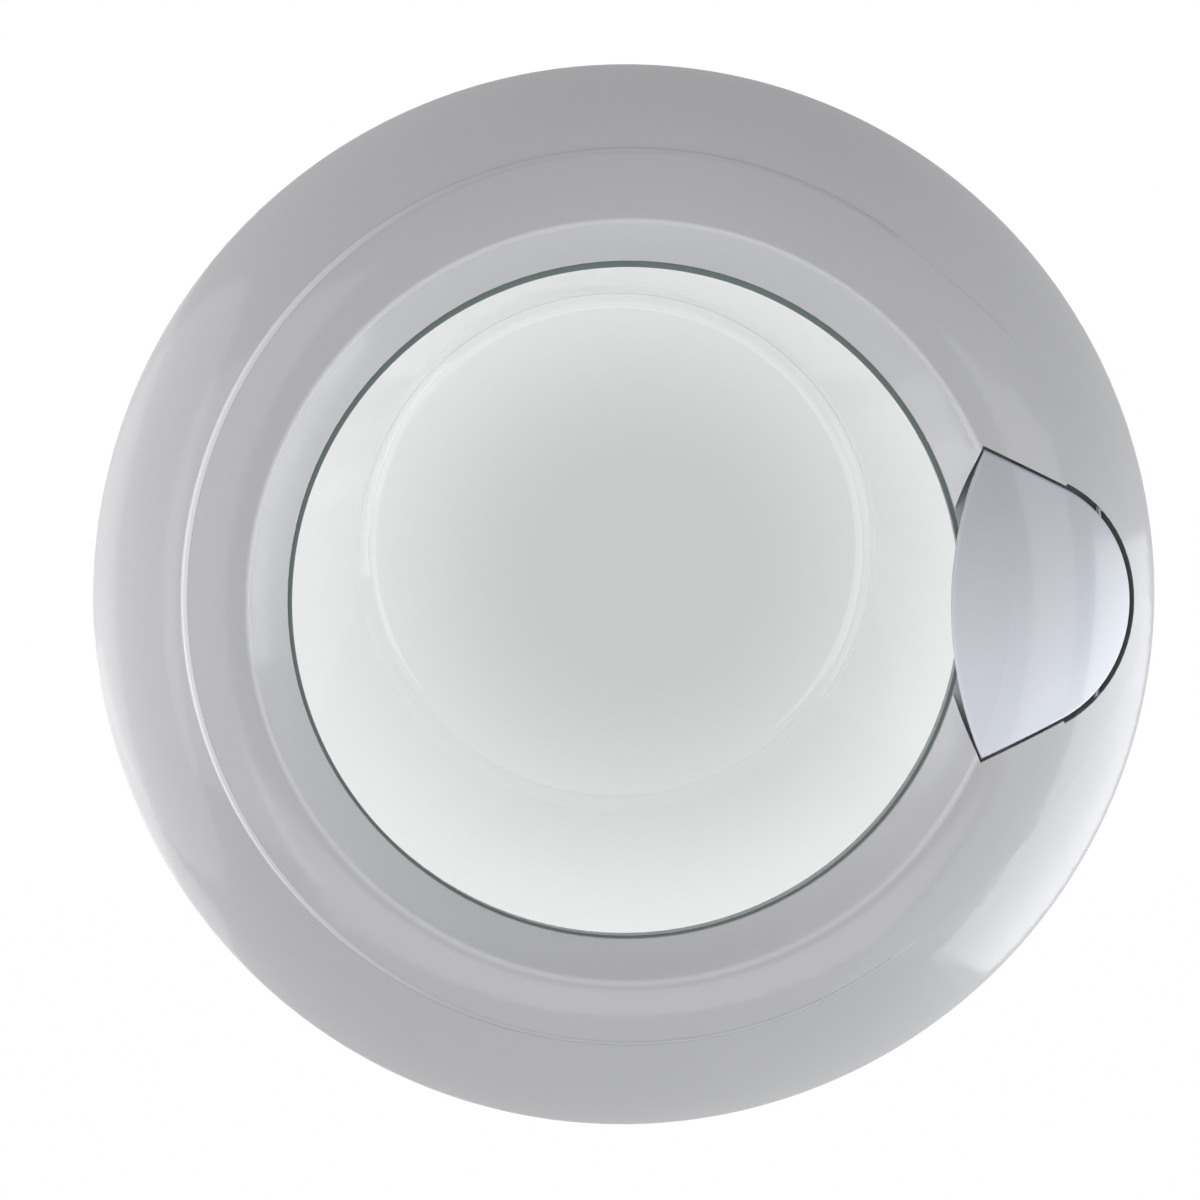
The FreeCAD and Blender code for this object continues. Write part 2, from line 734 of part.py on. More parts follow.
def porthole_glass():
    """The glass bowl, leaning up towards its end, with the flange that the two rings clamp."""
    section = bowl_section()
    doc.recompute()
    lean = value("bowl_rise / (bowl_depth + flange_back)")
    leaning = FreeCAD.Matrix()
    leaning.A32 = lean
    leaning.A34 = lean * value("flange_back")
    bowl = doc.addObject("Part::Feature", "bowl")
    bowl.Shape = section.Shape.transformGeometry(leaning)
    flange = new_body("glass_flange")
    revolve(flange, "glass_flange_turn", [
        at("bowl_mouth_radius - bowl_wall / 2", "seat_height"),
        at("bowl_mouth_radius - bowl_wall / 2", "flange_back"),
        at("flange_radius", "flange_back"),
        at("flange_radius", "seat_height"),
    ])
    finish(fuse("porthole_glass", flange, bowl), "porthole_glass")


# Rear ring

def rear_frame():
    """The rear ring: a flat rim, a ridge round the glass, a collar that clamps it, and screw wells."""
    outside = "rim_radius - frame_wall - rear_gap"
    collar_back = "collar_radius + collar_wall"
    body = new_body("rear_shell")
    revolve(body, "rear_shell_turn", [
        at(outside, "rear_wall"),
        at(outside, "0"),
        at("ridge_foot_radius", "0"),
        at("ridge_top_radius", "-ridge_depth"),
        at("collar_radius + collar_taper", "-ridge_depth"),
        at("collar_radius", "-(ridge_depth - collar_taper)"),
        at("collar_radius", "flange_back"),
        at(collar_back, "flange_back"),
        at(collar_back, "-(ridge_depth - collar_taper - rear_wall / 2)"),
        at(f"{collar_back} + rear_wall / 2", "-(ridge_depth - rear_wall)"),
        at("ridge_top_radius - rear_wall / 2", "-(ridge_depth - rear_wall)"),
        at("ridge_foot_radius - rear_wall / 2", "rear_wall"),
    ])
    round_circles(body, "ridge_rounding", [("ridge_top_radius", "-ridge_depth")], "ridge_round")
    wells = front_prism("screw_wells", draw_ring_circles("well_radius + well_wall"), "0", "well_depth")
    slot_right = "pin_x + hook_shank / 2 + hook_nose + hook_slot_gap"
    window_half = "bracket_lug_end + bracket_lug_height / 2"
    holes = fuse(
        "rear_holes",
        front_prism("well_recesses", draw_ring_circles("well_radius"),
                    "-cut_margin", "well_depth - well_floor"),
        front_prism("well_holes", draw_ring_circles("screw_hole"), "0", "well_depth + cut_margin"),
        front_prism("hook_slot", lambda sketch: draw_box(
            sketch, "slot_left", slot_right, "-slot_half", "slot_half"),
            "-ridge_depth - cut_margin", "rear_wall + cut_margin"),
        front_prism("hinge_window", lambda sketch: draw_box(
            sketch, "-rim_radius", "hinge_x + plate_offset", f"-({window_half})", window_half),
            "-cut_margin", "rear_wall + cut_margin"),
    )
    finish(cut("rear_frame", fuse("rear_blank", body, wells), holes), "rear_frame")


# Screws

def frame_screws():
    """The pan-head screws that join the rings, each with a cross recess in its head."""
    seat = "well_depth - well_floor"
    shanks = front_prism("screw_shanks", draw_ring_circles("screw_radius"), seat, "well_floor + screw_length")
    heads = front_prism("screw_heads", draw_ring_circles("screw_head_radius"),
                        f"{seat} - screw_head_height", seat)
    top = f"{seat} - screw_head_height"
    crosses = fuse(
        "screw_crosses",
        front_prism("cross_bars", draw_ring_bars("cross_reach", "cross_half"),
                    f"{top} - cut_margin", f"{top} + cross_depth"),
        front_prism("cross_posts", draw_ring_bars("cross_half", "cross_reach"),
                    f"{top} - cut_margin", f"{top} + cross_depth"),
    )
    finish(cut("frame_screws", fuse("screw_blanks", shanks, heads), crosses), "frame_screws")


def arm_screws():
    """The countersunk screws that hold the hinge leaf."""
    screws = []
    for number, (x, z) in enumerate(arm_screw_places()):
        body = new_body(f"arm_screw_{number}")
        draw_arm_screw(body, x, z, f"arm_screw_{number}")
        screws.append(body)
    finish(fuse("arm_screws", *screws), "arm_screws")


def draw_arm_screw(body, x, z, name, grow="0"):
    """A countersunk screw about its own axis: flush head, cone and shank."""
    sketch = new_sketch(body, name + "_profile", "XY_Plane", z)
    head = f"arm_screw_head_radius + ({grow})"
    shank = f"arm_screw_radius + ({grow})"
    cone = "leaf_back + arm_screw_head_radius - arm_screw_radius"
    draw_loop(sketch, [
        (x, "-leaf_back"),
        (f"{x} + {head}", "-leaf_back"),
        (f"{x} + {shank}", f"-({cone})"),
        (f"{x} + {shank}", "-(leaf_back + arm_screw_length)"),
        (x, "-(leaf_back + arm_screw_length)"),
    ])
    feature = body.newObject("PartDesign::Revolution", name + "_turn")
    feature.Profile = sketch
    feature.ReferenceAxis = (sketch, ["Edge5"])
    feature.Angle = 360


# Handle

def draw_handle(sketch):
    """The handle seen from the front: a curved lip, two straight sides and a round nose."""
    side_x = "handle_nose_centre + handle_nose_radius * cos(side_angle)"
    side_z = "handle_nose_radius * sin(side_angle)"
    draw_loop(sketch, [
        ("handle_corner_x", "handle_corner_z"),
        (side_x, side_z, "-handle_nose_radius"),
        (side_x, f"-({side_z})"),
        ("handle_corner_x", "-handle_corner_z", "-lip_arc_radius"),
    ])


def handle(core):
    """The pull handle: a shell that carries on the ring's dome, creased over the bevel, with two pin lugs."""
    lip_radius = "handle_corner_x - 2 * handle_lip_bulge"
    lip_slope = "handle_lip_drop / (bevel_radius - handle_corner_x + handle_lip_bulge)"
    lip_height_here = f"bevel_height - (bevel_radius - ({lip_radius})) * {lip_slope}"
    outside = "rim_radius - frame_wall"
    layer = new_body("handle_layer")
    revolve(layer, "handle_layer_turn", [
        at(lip_radius, f"{lip_height_here} - handle_wall - handle_sink"),
        at(lip_radius, f"{lip_height_here} - handle_sink"),
        at("bevel_radius", dome_height("bevel_radius", "handle_sink"),
           "-(dome_radius - handle_sink)"),
        at(outside, dome_height(outside, "handle_sink")),
        at(outside, dome_height(outside, "handle_sink + handle_wall"),
           "dome_radius - handle_sink - handle_wall"),
        at("bevel_radius", dome_height("bevel_radius", "handle_sink + handle_wall")),
    ])
    blank = common("handle_shell", layer, front_prism("handle_outline", draw_handle, "0", "2 * crest_height"))
    shell = round_handle(blank)
    near = "(handle_lug_spacing - handle_lug_thickness) / 2"
    far = "(handle_lug_spacing + handle_lug_thickness) / 2"
    blanks = fuse("handle_lug_blanks", upright_prism("handle_lug_upper", draw_lug, near, far),
                  upright_prism("handle_lug_lower", draw_lug, f"-{far}", f"-{near}"))
    lugs = common("handle_lugs", blanks, core)
    bore = upright_rod("handle_bore", "pin_x", "-pin_height", "pin_bore",
                       "-handle_lug_spacing", "handle_lug_spacing")
    finish(cut("handle", fuse("handle_blank", shell, lugs), bore), "handle")


def round_handle(shell):
    """Round the handle's face along its outline, which is all of the face's edges but its crease and seam."""
    doc.recompute()
    half_wall = Vector(0, value("handle_wall / 2"), 0)
    crease = value("bevel_radius")
    numbers = []
    for number, points in edge_points(shell):
        on_face = all(shell.Shape.isInside(point + half_wall, SAME_PLACE, True) for point in points)
        on_crease = all(abs(math.hypot(point.x, point.z) - crease) < SAME_PLACE for point in points)
        on_seam = all(abs(point.z) < SAME_PLACE for point in points)
        if on_face and not on_crease and not on_seam:
            numbers.append(number)
    return round_edges("handle_rounding", shell, numbers, "handle_edge_round")


def draw_lug(sketch):
    """A pin lug from the side: round under the pin, and widening up to the shell."""
    draw_loop(sketch, [
        ("pin_x - hub_radius", "-pin_height", "-hub_radius"),
        ("pin_x", "-pin_height + hub_radius", "-hub_radius"),
        ("pin_x + hub_radius", "-pin_height"),
        ("pin_x + hub_radius", "-crest_height"),
        ("pin_x - handle_lug_web", "-crest_height"),
    ])


def handle_pin():
    """The steel axle that handle and hook share, seated in the walls of the recess."""
    reach = "pin_wall + handle_pin_seat"
    pin = upright_rod("handle_pin", "pin_x", "-pin_height", "handle_pin_radius", f"-({reach})", reach)
    finish(pin, "handle_pin", "pin_x", "-pin_height", f"-({reach})")


# Hook

def latch_hook():
    """The hook: a hub on the pin, a shank through both rings, a nose, and a toe that the handle presses."""
    half = "hook_shank / 2"
    toe_top = "-(pin_height - toe_depth)"
    toe_back = "-(pin_height - toe_depth - toe_thickness)"

    def draw_profile(sketch):
        draw_loop(sketch, [
            ("pin_x + hub_radius", "-pin_height", "-hub_radius"),
            ("pin_x", "-pin_height - hub_radius", "-hub_radius"),
            ("pin_x - hub_radius", "-pin_height"),
            (f"pin_x - {half}", toe_back),
            (f"pin_x - {half}", "hook_reach"),
            (f"pin_x + {half} - hook_nose_tip", "hook_reach"),
            (f"pin_x + {half} + hook_nose", "hook_throat + hook_nose_tip"),
            (f"pin_x + {half} + hook_nose", "hook_throat"),
            (f"pin_x + {half}", "hook_throat"),
            (f"pin_x + {half}", toe_back),
            ("pin_x + toe_reach", toe_back),
            ("pin_x + toe_reach", toe_top),
            ("pin_x + hub_radius", toe_top),
        ])

    shank = upright_prism("hook_shank_plate", draw_profile, "-hook_width / 2", "hook_width / 2")
    toe = upright_prism("hook_toe", lambda sketch: draw_box(
        sketch, "pin_x + hub_radius", "pin_x + toe_reach", toe_top, toe_back),
        "-hook_width / 2 - toe_width", "-hook_width / 2")
    bore = upright_rod("hook_bore", "pin_x", "-pin_height", "pin_bore", "-hook_width", "hook_width")
    finish(cut("latch_hook", fuse("hook_blank", shank, toe), bore), "latch_hook")


def torsion_spring(label, side, lean):
    """A coil round the pin: one straight leg on the recess guard, one under the piece that it pushes back.

    The coil stops short of its full turns by the lean, so that the last leg slopes away from the pin.
    """
    coil = Part.makeHelix(value("spring_pitch"), value(f"spring_pitch * (spring_turns - {lean} / 360)"),
                          value("coil_radius")).Edges[0]
    first, last = coil.FirstParameter, coil.LastParameter
    guard_end = coil.valueAt(first) - coil.tangentAt(first) * value("guard_inset - guard_wall / 2")
    toe_end = coil.valueAt(last) + coil.tangentAt(last) * value("toe_reach")
    path = Part.Wire([Part.makeLine(guard_end, coil.valueAt(first)), coil,
                      Part.makeLine(coil.valueAt(last), toe_end)])
    section = Part.Wire(Part.makeCircle(value("spring_wire_radius"), guard_end, coil.tangentAt(first)))
    shape = path.makePipeShell([section], True, True)
    shape = shape.mirror(Vector(), Vector(1, -1, 0))
    if side < 0:
        shape = shape.mirror(Vector(), Vector(0, 0, 1))
    spring = doc.addObject("Part::Feature", label)
    spring.Shape = shape
    finish(spring, label, "pin_x", "-pin_height", f"{side} * coil_start")


# Hinge

def hinge_bracket():
    """The cabinet plate with two lugs that carry the hinge pin."""
    left = "hinge_x + plate_offset"
    back = "hinge_depth + plate_standoff"
    half = "plate_height / 2"
    plate = front_prism("bracket_plate", lambda sketch: draw_box(
        sketch, left, f"{left} + plate_width", f"-({half})", half),
        f"-({back})", f"plate_thickness - ({back})")
    lugs = [upright_prism("bracket_lug_upper", draw_bracket_lug, "bracket_lug_start", "bracket_lug_end"),
            upright_prism("bracket_lug_lower", draw_bracket_lug, "-bracket_lug_end", "-bracket_lug_start")]
    bore = upright_rod("bracket_bore", "hinge_x", "hinge_depth", "hinge_pin_radius",
                       "-plate_height", "plate_height")

    def draw_mount_holes(sketch):
        for height in ("mount_hole_spacing / 2", "-mount_hole_spacing / 2"):
            draw_circle(sketch, "mount_x", height, "mount_hole_radius")

    holes = front_prism("mount_holes", draw_mount_holes, f"-({back}) - cut_margin",
                        f"plate_thickness - ({back}) + cut_margin")
    finish(cut("hinge_bracket", fuse("bracket_blank", plate, *lugs), fuse("bracket_holes", bore, holes)),
           "hinge_bracket")


def draw_bracket_lug(sketch):
    """A lug from above: round about the pin, with a web that runs into the plate."""
    back = "hinge_depth + plate_standoff"
    front = f"{back} - plate_thickness"
    draw_loop(sketch, [
        ("hinge_x + knuckle_radius * cos(bracket_lug_turn)",
         "hinge_depth + knuckle_radius * sin(bracket_lug_turn)", "knuckle_radius"),
        ("hinge_x - knuckle_radius", "hinge_depth", "knuckle_radius"),
        ("hinge_x", "hinge_depth - knuckle_radius", "knuckle_radius"),
        ("hinge_x + knuckle_radius", "hinge_depth"),
        ("hinge_x + 2 * plate_offset", front),
        ("hinge_x + 2 * plate_offset", back),
        ("hinge_x + plate_offset", back),
    ])


def hinge_arm():
    """The door's leaf: a knuckle for the bushes and a plate that lies on the front ring's bosses."""
    knuckle = upright_rod("knuckle", "hinge_x", "hinge_depth", "knuckle_radius",
                          "-knuckle_end", "knuckle_end")
    end = "hinge_x + leaf_length"
    half = "leaf_height / 2"

    def draw_leaf(sketch):
        draw_loop(sketch, [
            ("hinge_x - hinge_pin_radius", f"-({half})"),
            (f"{end} - leaf_corner", f"-({half})"),
            (end, f"-({half}) + leaf_corner"),
            (end, f"{half} - leaf_corner"),
            (f"{end} - leaf_corner", half),
            ("hinge_x - hinge_pin_radius", half),
        ])

    leaf = front_prism("leaf", draw_leaf, "leaf_back", "leaf_front")
    web = front_prism("leaf_web", lambda sketch: draw_box(
        sketch, "hinge_x - hinge_pin_radius", "hinge_x + hinge_pin_radius", f"-({half})", half),
        "-hinge_depth", "leaf_front")
    bore = upright_rod("knuckle_bore", "hinge_x", "hinge_depth", "bush_radius",
                       "-knuckle_length", "knuckle_length")
    sinks = []
    for number, (x, z) in enumerate(arm_screw_places()):
        body = new_body(f"leaf_sink_{number}")
        draw_arm_screw(body, x, z, f"leaf_sink_{number}", "running_clearance")
        sinks.append(body)
    blank = fuse("arm_blank", knuckle, leaf, web)
    finish(cut("hinge_arm", blank, fuse("arm_holes", bore, *sinks)), "hinge_arm")


def hinge_bush(label, side):
    """A flanged bush at one end of the knuckle."""
    body = new_body(label + "_body")
    sketch = new_sketch(body, label + "_profile", "XZ_Plane", "-hinge_depth")
    inside = "hinge_x + hinge_pin_radius + running_clearance"
    outside = "hinge_x + bush_radius"
    sign = "" if side > 0 else "-"
    face = f"{sign}knuckle_end"
    corners = [
        (inside, f"{sign}(knuckle_end - bush_length)"),
        (outside, f"{sign}(knuckle_end - bush_length)"),
        (outside, face),
        ("hinge_x + knuckle_radius", face),
        ("hinge_x + knuckle_radius", f"{sign}(knuckle_end + bush_flange)"),
        (inside, f"{sign}(knuckle_end + bush_flange)"),
    ]
    draw_loop(sketch, corners)
    foot = Vector(value("hinge_x"), 0, 0)
    tip = Vector(value("hinge_x"), value("knuckle_end"), 0)
    axis = sketch.addGeometry(Part.LineSegment(foot, tip), True)
    fix_point(sketch, axis, 1, "hinge_x", "0")
    fix_point(sketch, axis, 2, "hinge_x", "knuckle_end")
    feature = body.newObject("PartDesign::Revolution", label + "_turn")
    feature.Profile = sketch
    feature.ReferenceAxis = (sketch, ["Axis0"])
    feature.Angle = 360
    finish(body, label)


def hinge_pin():
    """The hinge pin: a head above the upper lug and a groove for the clip below the lower one."""
    shank = upright_rod("hinge_pin_shank", "hinge_x", "hinge_depth", "hinge_pin_radius",
                        "-bracket_lug_end - hinge_pin_tail", "bracket_lug_end")
    head = upright_rod("hinge_pin_cap", "hinge_x", "hinge_depth", "knuckle_radius - bush_wall",
                       "bracket_lug_end", "bracket_lug_end + hinge_pin_head")
    groove_depth = "hinge_pin_radius - clip_groove_depth"
    top = "-bracket_lug_end - clip_play"
    low = f"{top} - clip_thickness - clip_play"
    groove = cut("hinge_pin_groove",
                 upright_rod("groove_outside", "hinge_x", "hinge_depth", "knuckle_radius", low, top),
                 upright_rod("groove_inside", "hinge_x", "hinge_depth", groove_depth, low, top))
    finish(cut("hinge_pin", fuse("hinge_pin_blank", shank, head), groove), "hinge_pin")


def hinge_pin_clip():
    """The open clip that snaps into the pin's groove."""
    top = "-bracket_lug_end - clip_play - clip_play / 2"
    low = f"{top} - clip_thickness"
    inner = "hinge_pin_radius - clip_groove_depth + running_clearance"
    mouth_half = f"({inner}) * clip_mouth_share"
    ring = cut("clip_ring",
               upright_rod("clip_outside", "hinge_x", "hinge_depth", "clip_radius", low, top),
               upright_rod("clip_inside", "hinge_x", "hinge_depth", inner, low, top))
    mouth = upright_prism("clip_mouth", lambda sketch: draw_box(
        sketch, "hinge_x - clip_radius - cut_margin", "hinge_x", f"hinge_depth - ({mouth_half})",
        f"hinge_depth + {mouth_half}"), f"{low} - cut_margin", f"{top} + cut_margin")
    finish(cut("hinge_pin_clip", ring, mouth), "hinge_pin_clip")


def check_and_write():
    """Stop on any failed object or bad shape, then write one file for each sub-part."""
    doc.recompute()
    failed = [item.Name for item in doc.Objects if {"Invalid", "Error"} & set(item.State)]
    if failed:
        raise RuntimeError(f"failed objects: {failed}")
    for part in sub_parts:
        if part.Shape.isNull() or not part.Shape.isValid():
            raise RuntimeError(f"bad shape: {part.Label}")
    os.makedirs("parts", exist_ok=True)
    for part in sub_parts:
        part.Shape.exportStep(f"parts/{part.Label}.step")
        print(part.Label, len(part.Shape.Solids), round(part.Shape.Volume))


def main():
    """Build every sub-part and write it."""
    fill_values()
    core = inner_core()
    front_frame(core)
    porthole_glass()
    rear_frame()
    frame_screws()
    handle(core)
    handle_pin()
    latch_hook()
    torsion_spring("handle_spring", 1, "handle_leg_lean")
    torsion_spring("hook_spring", -1, "hook_leg_lean")
    hinge_bracket()
    hinge_arm()
    hinge_bush("hinge_bush_upper", 1)
    hinge_bush("hinge_bush_lower", -1)
    hinge_pin()
    hinge_pin_clip()
    arm_screws()
    check_and_write()


main()
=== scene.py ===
"""Looks of a front-loading washing machine door: finishes, glass, light and camera round the frame."""

import logging
import math
from collections.abc import Callable
from dataclasses import dataclass
from enum import Enum

import bmesh
import bpy
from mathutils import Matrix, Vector


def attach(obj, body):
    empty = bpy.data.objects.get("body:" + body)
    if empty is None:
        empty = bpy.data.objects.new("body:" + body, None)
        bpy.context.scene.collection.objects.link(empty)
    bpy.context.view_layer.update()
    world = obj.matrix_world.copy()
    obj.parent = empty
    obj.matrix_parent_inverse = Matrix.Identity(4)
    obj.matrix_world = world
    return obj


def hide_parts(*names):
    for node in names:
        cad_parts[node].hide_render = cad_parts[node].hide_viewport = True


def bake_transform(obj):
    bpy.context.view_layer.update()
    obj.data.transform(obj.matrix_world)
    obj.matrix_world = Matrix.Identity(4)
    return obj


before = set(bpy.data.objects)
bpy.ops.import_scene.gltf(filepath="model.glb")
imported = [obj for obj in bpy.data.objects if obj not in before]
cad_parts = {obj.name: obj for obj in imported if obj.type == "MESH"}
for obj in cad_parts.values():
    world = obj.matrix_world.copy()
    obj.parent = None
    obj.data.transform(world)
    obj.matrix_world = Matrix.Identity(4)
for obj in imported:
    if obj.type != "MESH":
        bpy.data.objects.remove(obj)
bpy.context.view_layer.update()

log = logging.getLogger("washing_machine_door")

Colour = tuple[float, float, float]
Place = tuple[float, float, float]

# Middle of the porthole on the closing plane, in metres: the face looks along -Y.
CLOSING_PLANE: Place = (0.193, -0.011, 0.0)
# The point that the lamps are set round.
DOOR_CENTRE: Place = (0.193, -0.02, 0.0)

WHITE: Colour = (1.0, 1.0, 1.0)
COOL_WHITE: Colour = (0.96, 0.98, 1.0)
FACE_COLOUR: Colour = (0.42, 0.42, 0.436)

# Sockets of the colour mix node, which have the same names as those for other kinds of data.
MIX_SHARE = 0
MIX_FIRST = 6
MIX_SECOND = 7
MIX_COLOUR = 2


class Grain(Enum):
    """What the surface of a metal piece shows close up."""

    CAST = "cast"
    DRAWN = "drawn"
    PLATED = "plated"


@dataclass(frozen=True)
class GrainLook:
    """How a metal's grain is drawn: features per metre, height in metres, and packing along each axis."""

    scale: float
    depth: float
    stretch: Place = (1.0, 1.0, 1.0)


GRAIN_LOOKS: dict[Grain, GrainLook] = {
    Grain.CAST: GrainLook(700.0, 0.00008),
    Grain.DRAWN: GrainLook(2500.0, 0.00002, (1.0, 1.0, 0.06)),
    Grain.PLATED: GrainLook(260.0, 0.00001),
}


class Shader:
    """A node material under construction, with the object's own coordinates for every pattern."""

    def __init__(self, name: str) -> None:
        """Start a material that ends in a principled shader.

        Args:
            name: The material's name.
        """
        self.material = bpy.data.materials.new(name)
        self.material.use_nodes = True
        self.tree = self.material.node_tree
        self.tree.nodes.clear()
        self.surface = self.add("ShaderNodeBsdfPrincipled")
        self.output = self.add("ShaderNodeOutputMaterial")
        self.join(self.surface.outputs["BSDF"], self.output.inputs["Surface"])
        self.place = self.add("ShaderNodeTexCoord").outputs["Object"]

    def add(self, kind: str, **settings: object) -> bpy.types.Node:
        """Add a node.

        Args:
            kind: The node's type.
            settings: Properties of the node to set.

        Returns:
            The new node.
        """
        node = self.tree.nodes.new(kind)
        for name, value in settings.items():
            setattr(node, name, value)
        return node

    def join(self, source: bpy.types.NodeSocket, target: bpy.types.NodeSocket) -> None:
        """Link two sockets."""
        self.tree.links.new(source, target)

    def fix(self, **values: object) -> None:
        """Set plain values on the principled shader, with underscores for the spaces in socket names."""
        for name, value in values.items():
            self.surface.inputs[name.replace("_", " ")].default_value = value

    def noise(self, scale: float, detail: float = 2.0,
              stretch: Place = (1.0, 1.0, 1.0)) -> bpy.types.NodeSocket:
        """A noise pattern in object space.

        Args:
            scale: Features per metre.
            detail: Octaves of finer noise.
            stretch: How much the pattern is packed along each axis.

        Returns:
            The pattern's value, about 0 to 1.
        """
        mapping = self.add("ShaderNodeMapping")
        mapping.inputs["Scale"].default_value = stretch
        self.join(self.place, mapping.inputs["Vector"])
        pattern = self.add("ShaderNodeTexNoise")
        pattern.inputs["Scale"].default_value = scale
        pattern.inputs["Detail"].default_value = detail
        self.join(mapping.outputs["Vector"], pattern.inputs["Vector"])
        return pattern.outputs["Fac"]

    def spread(self, value: bpy.types.NodeSocket, low: float, high: float,
               start: float = 0.3, end: float = 0.7) -> bpy.types.NodeSocket:
        """Map a pattern's values onto a range.

        Args:
            value: The pattern.
            low: Result at start.
            high: Result at end.
            start: Pattern value that gives low.
            end: Pattern value that gives high.

        Returns:
            The mapped value.
        """
        node = self.add("ShaderNodeMapRange", interpolation_type="SMOOTHSTEP")
        for name, number in (("From Min", start), ("From Max", end), ("To Min", low), ("To Max", high)):
            node.inputs[name].default_value = number
        self.join(value, node.inputs["Value"])
        return node.outputs["Result"]

    def distance(self, centre: Place, across: Place = (1.0, 1.0, 1.0)) -> bpy.types.NodeSocket:
        """Distance from a point in object space.

        Args:
            centre: The point.
            across: Weight of each axis; a zero leaves that axis out.

        Returns:
            The distance in metres.
        """
        offset = self.add("ShaderNodeVectorMath", operation="SUBTRACT")
        offset.inputs[1].default_value = centre
        self.join(self.place, offset.inputs[0])
        flat = self.add("ShaderNodeVectorMath", operation="MULTIPLY")
        flat.inputs[1].default_value = across
        self.join(offset.outputs["Vector"], flat.inputs[0])
        length = self.add("ShaderNodeVectorMath", operation="LENGTH")
        self.join(flat.outputs["Vector"], length.inputs[0])
        return length.outputs["Value"]

    def blend(self, share: bpy.types.NodeSocket, first: Colour, second: Colour) -> bpy.types.NodeSocket:
        """Blend two colours by a pattern.

        Args:
            share: 0 gives the first colour and 1 the second.
            first: A linear colour.
            second: A linear colour.

        Returns:
            The blended colour.
        """
        node = self.add("ShaderNodeMix", data_type="RGBA")
        node.inputs[MIX_FIRST].default_value = (*first, 1.0)
        node.inputs[MIX_SECOND].default_value = (*second, 1.0)
        self.join(share, node.inputs[MIX_SHARE])
        return node.outputs[MIX_COLOUR]

    def times(self, first: bpy.types.NodeSocket, second: bpy.types.NodeSocket) -> bpy.types.NodeSocket:
        """The product of two colours."""
        node = self.add("ShaderNodeMix", data_type="RGBA", blend_type="MULTIPLY")
        node.inputs[MIX_SHARE].default_value = 1.0
        self.join(first, node.inputs[MIX_FIRST])
        self.join(second, node.inputs[MIX_SECOND])
        return node.outputs[MIX_COLOUR]

    def raise_surface(self, height: bpy.types.NodeSocket, depth: float) -> None:
        """Let a pattern raise the surface.

        Args:
            height: The pattern.
            depth: Height in metres of its full range.
        """
        bump = self.add("ShaderNodeBump")
        bump.inputs["Distance"].default_value = depth
        self.join(height, bump.inputs["Height"])
        self.join(bump.outputs["Normal"], self.surface.inputs["Normal"])


def scaled(colour: Colour, factor: float) -> Colour:
    """A colour made lighter or darker by a factor."""
    return tuple(channel * factor for channel in colour)


@dataclass(frozen=True)
class Finish:
    """What every finish has: a name, a colour and a roughness."""

    name: str
    colour: Colour
    roughness: float

    def make(self) -> bpy.types.Material:
        """The finished material."""
        raise NotImplementedError


@dataclass(frozen=True)
class MouldedPlastic(Finish):
    """Moulded plastic: a slow drift of tone, a fine grain and a clear or dull skin."""

    drift: float = 0.015
    drift_scale: float = 9.0
    patch_scale: float = 60.0
    patch_detail: float = 3.0
    patch_range: float = 0.08
    grain_scale: float = 900.0
    grain_depth: float = 0.00001
    index: float = 1.49
    skin: float = 0.0
    skin_roughness: float = 0.1
    skin_index: float = 1.45

    def tone(self, shader: Shader) -> bpy.types.NodeSocket:
        """The colour, drifting slowly over the piece."""
        slow = shader.spread(shader.noise(self.drift_scale), 0.0, 1.0)
        darker = scaled(self.colour, 1.0 - self.drift)
        lighter = scaled(self.colour, 1.0 + self.drift)
        return shader.blend(slow, darker, lighter)

    def make(self) -> bpy.types.Material:
        """The finished material."""
        shader = Shader(self.name)
        shader.join(self.tone(shader), shader.surface.inputs["Base Color"])
        patches = shader.noise(self.patch_scale, self.patch_detail)
        smoother = self.roughness * (1.0 - self.patch_range)
        rougher = self.roughness * (1.0 + self.patch_range)
        shader.join(shader.spread(patches, smoother, rougher), shader.surface.inputs["Roughness"])
        shader.raise_surface(shader.noise(self.grain_scale), self.grain_depth)
        shader.fix(IOR=self.index, Coat_Weight=self.skin)
        shader.fix(Coat_Roughness=self.skin_roughness, Coat_IOR=self.skin_index)
        return shader.material


@dataclass(frozen=True)
class FacePlastic(MouldedPlastic):
    """The front ring's plastic, with painted light on the bevel round the glass: a lighter tone that stands
    in for the light the bevel catches.
    """

    bevel_edge: float = 0.1622
    bevel_blend: float = 0.0012
    # Painted light: the bevel is drawn this much lighter than the rest of the face.
    bevel_painted_light: Colour = (1.35, 1.35, 1.37)

    def tone(self, shader: Shader) -> bpy.types.NodeSocket:
        """The drifting colour, with painted light inside the bevel's edge."""
        radius = shader.distance(CLOSING_PLANE, (1.0, 0.0, 1.0))
        inside = shader.spread(radius, 1.0, 0.0, self.bevel_edge - self.bevel_blend,
                               self.bevel_edge + self.bevel_blend)
        return shader.times(super().tone(shader), shader.blend(inside, WHITE, self.bevel_painted_light))


@dataclass(frozen=True)
class HandlePlastic(MouldedPlastic):
    """The handle's plastic, with painted shade at its top and painted light at its bottom."""

    top: float = 0.07
    bottom: float = -0.07
    # Painted shade at the top and painted light at the bottom of the handle.
    top_painted_shade: Colour = (0.87, 0.87, 0.88)
    bottom_painted_light: Colour = (1.6, 1.6, 1.6)

    def tone(self, shader: Shader) -> bpy.types.NodeSocket:
        """The drifting colour, with painted shade at the top and painted light towards the bottom."""
        height = shader.distance((0.0, 0.0, self.bottom), (0.0, 0.0, 1.0))
        share = shader.spread(height, 0.0, 1.0, 0.0, self.top - self.bottom)
        return shader.times(super().tone(shader), shader.blend(share, self.bottom_painted_light, self.top_painted_shade))


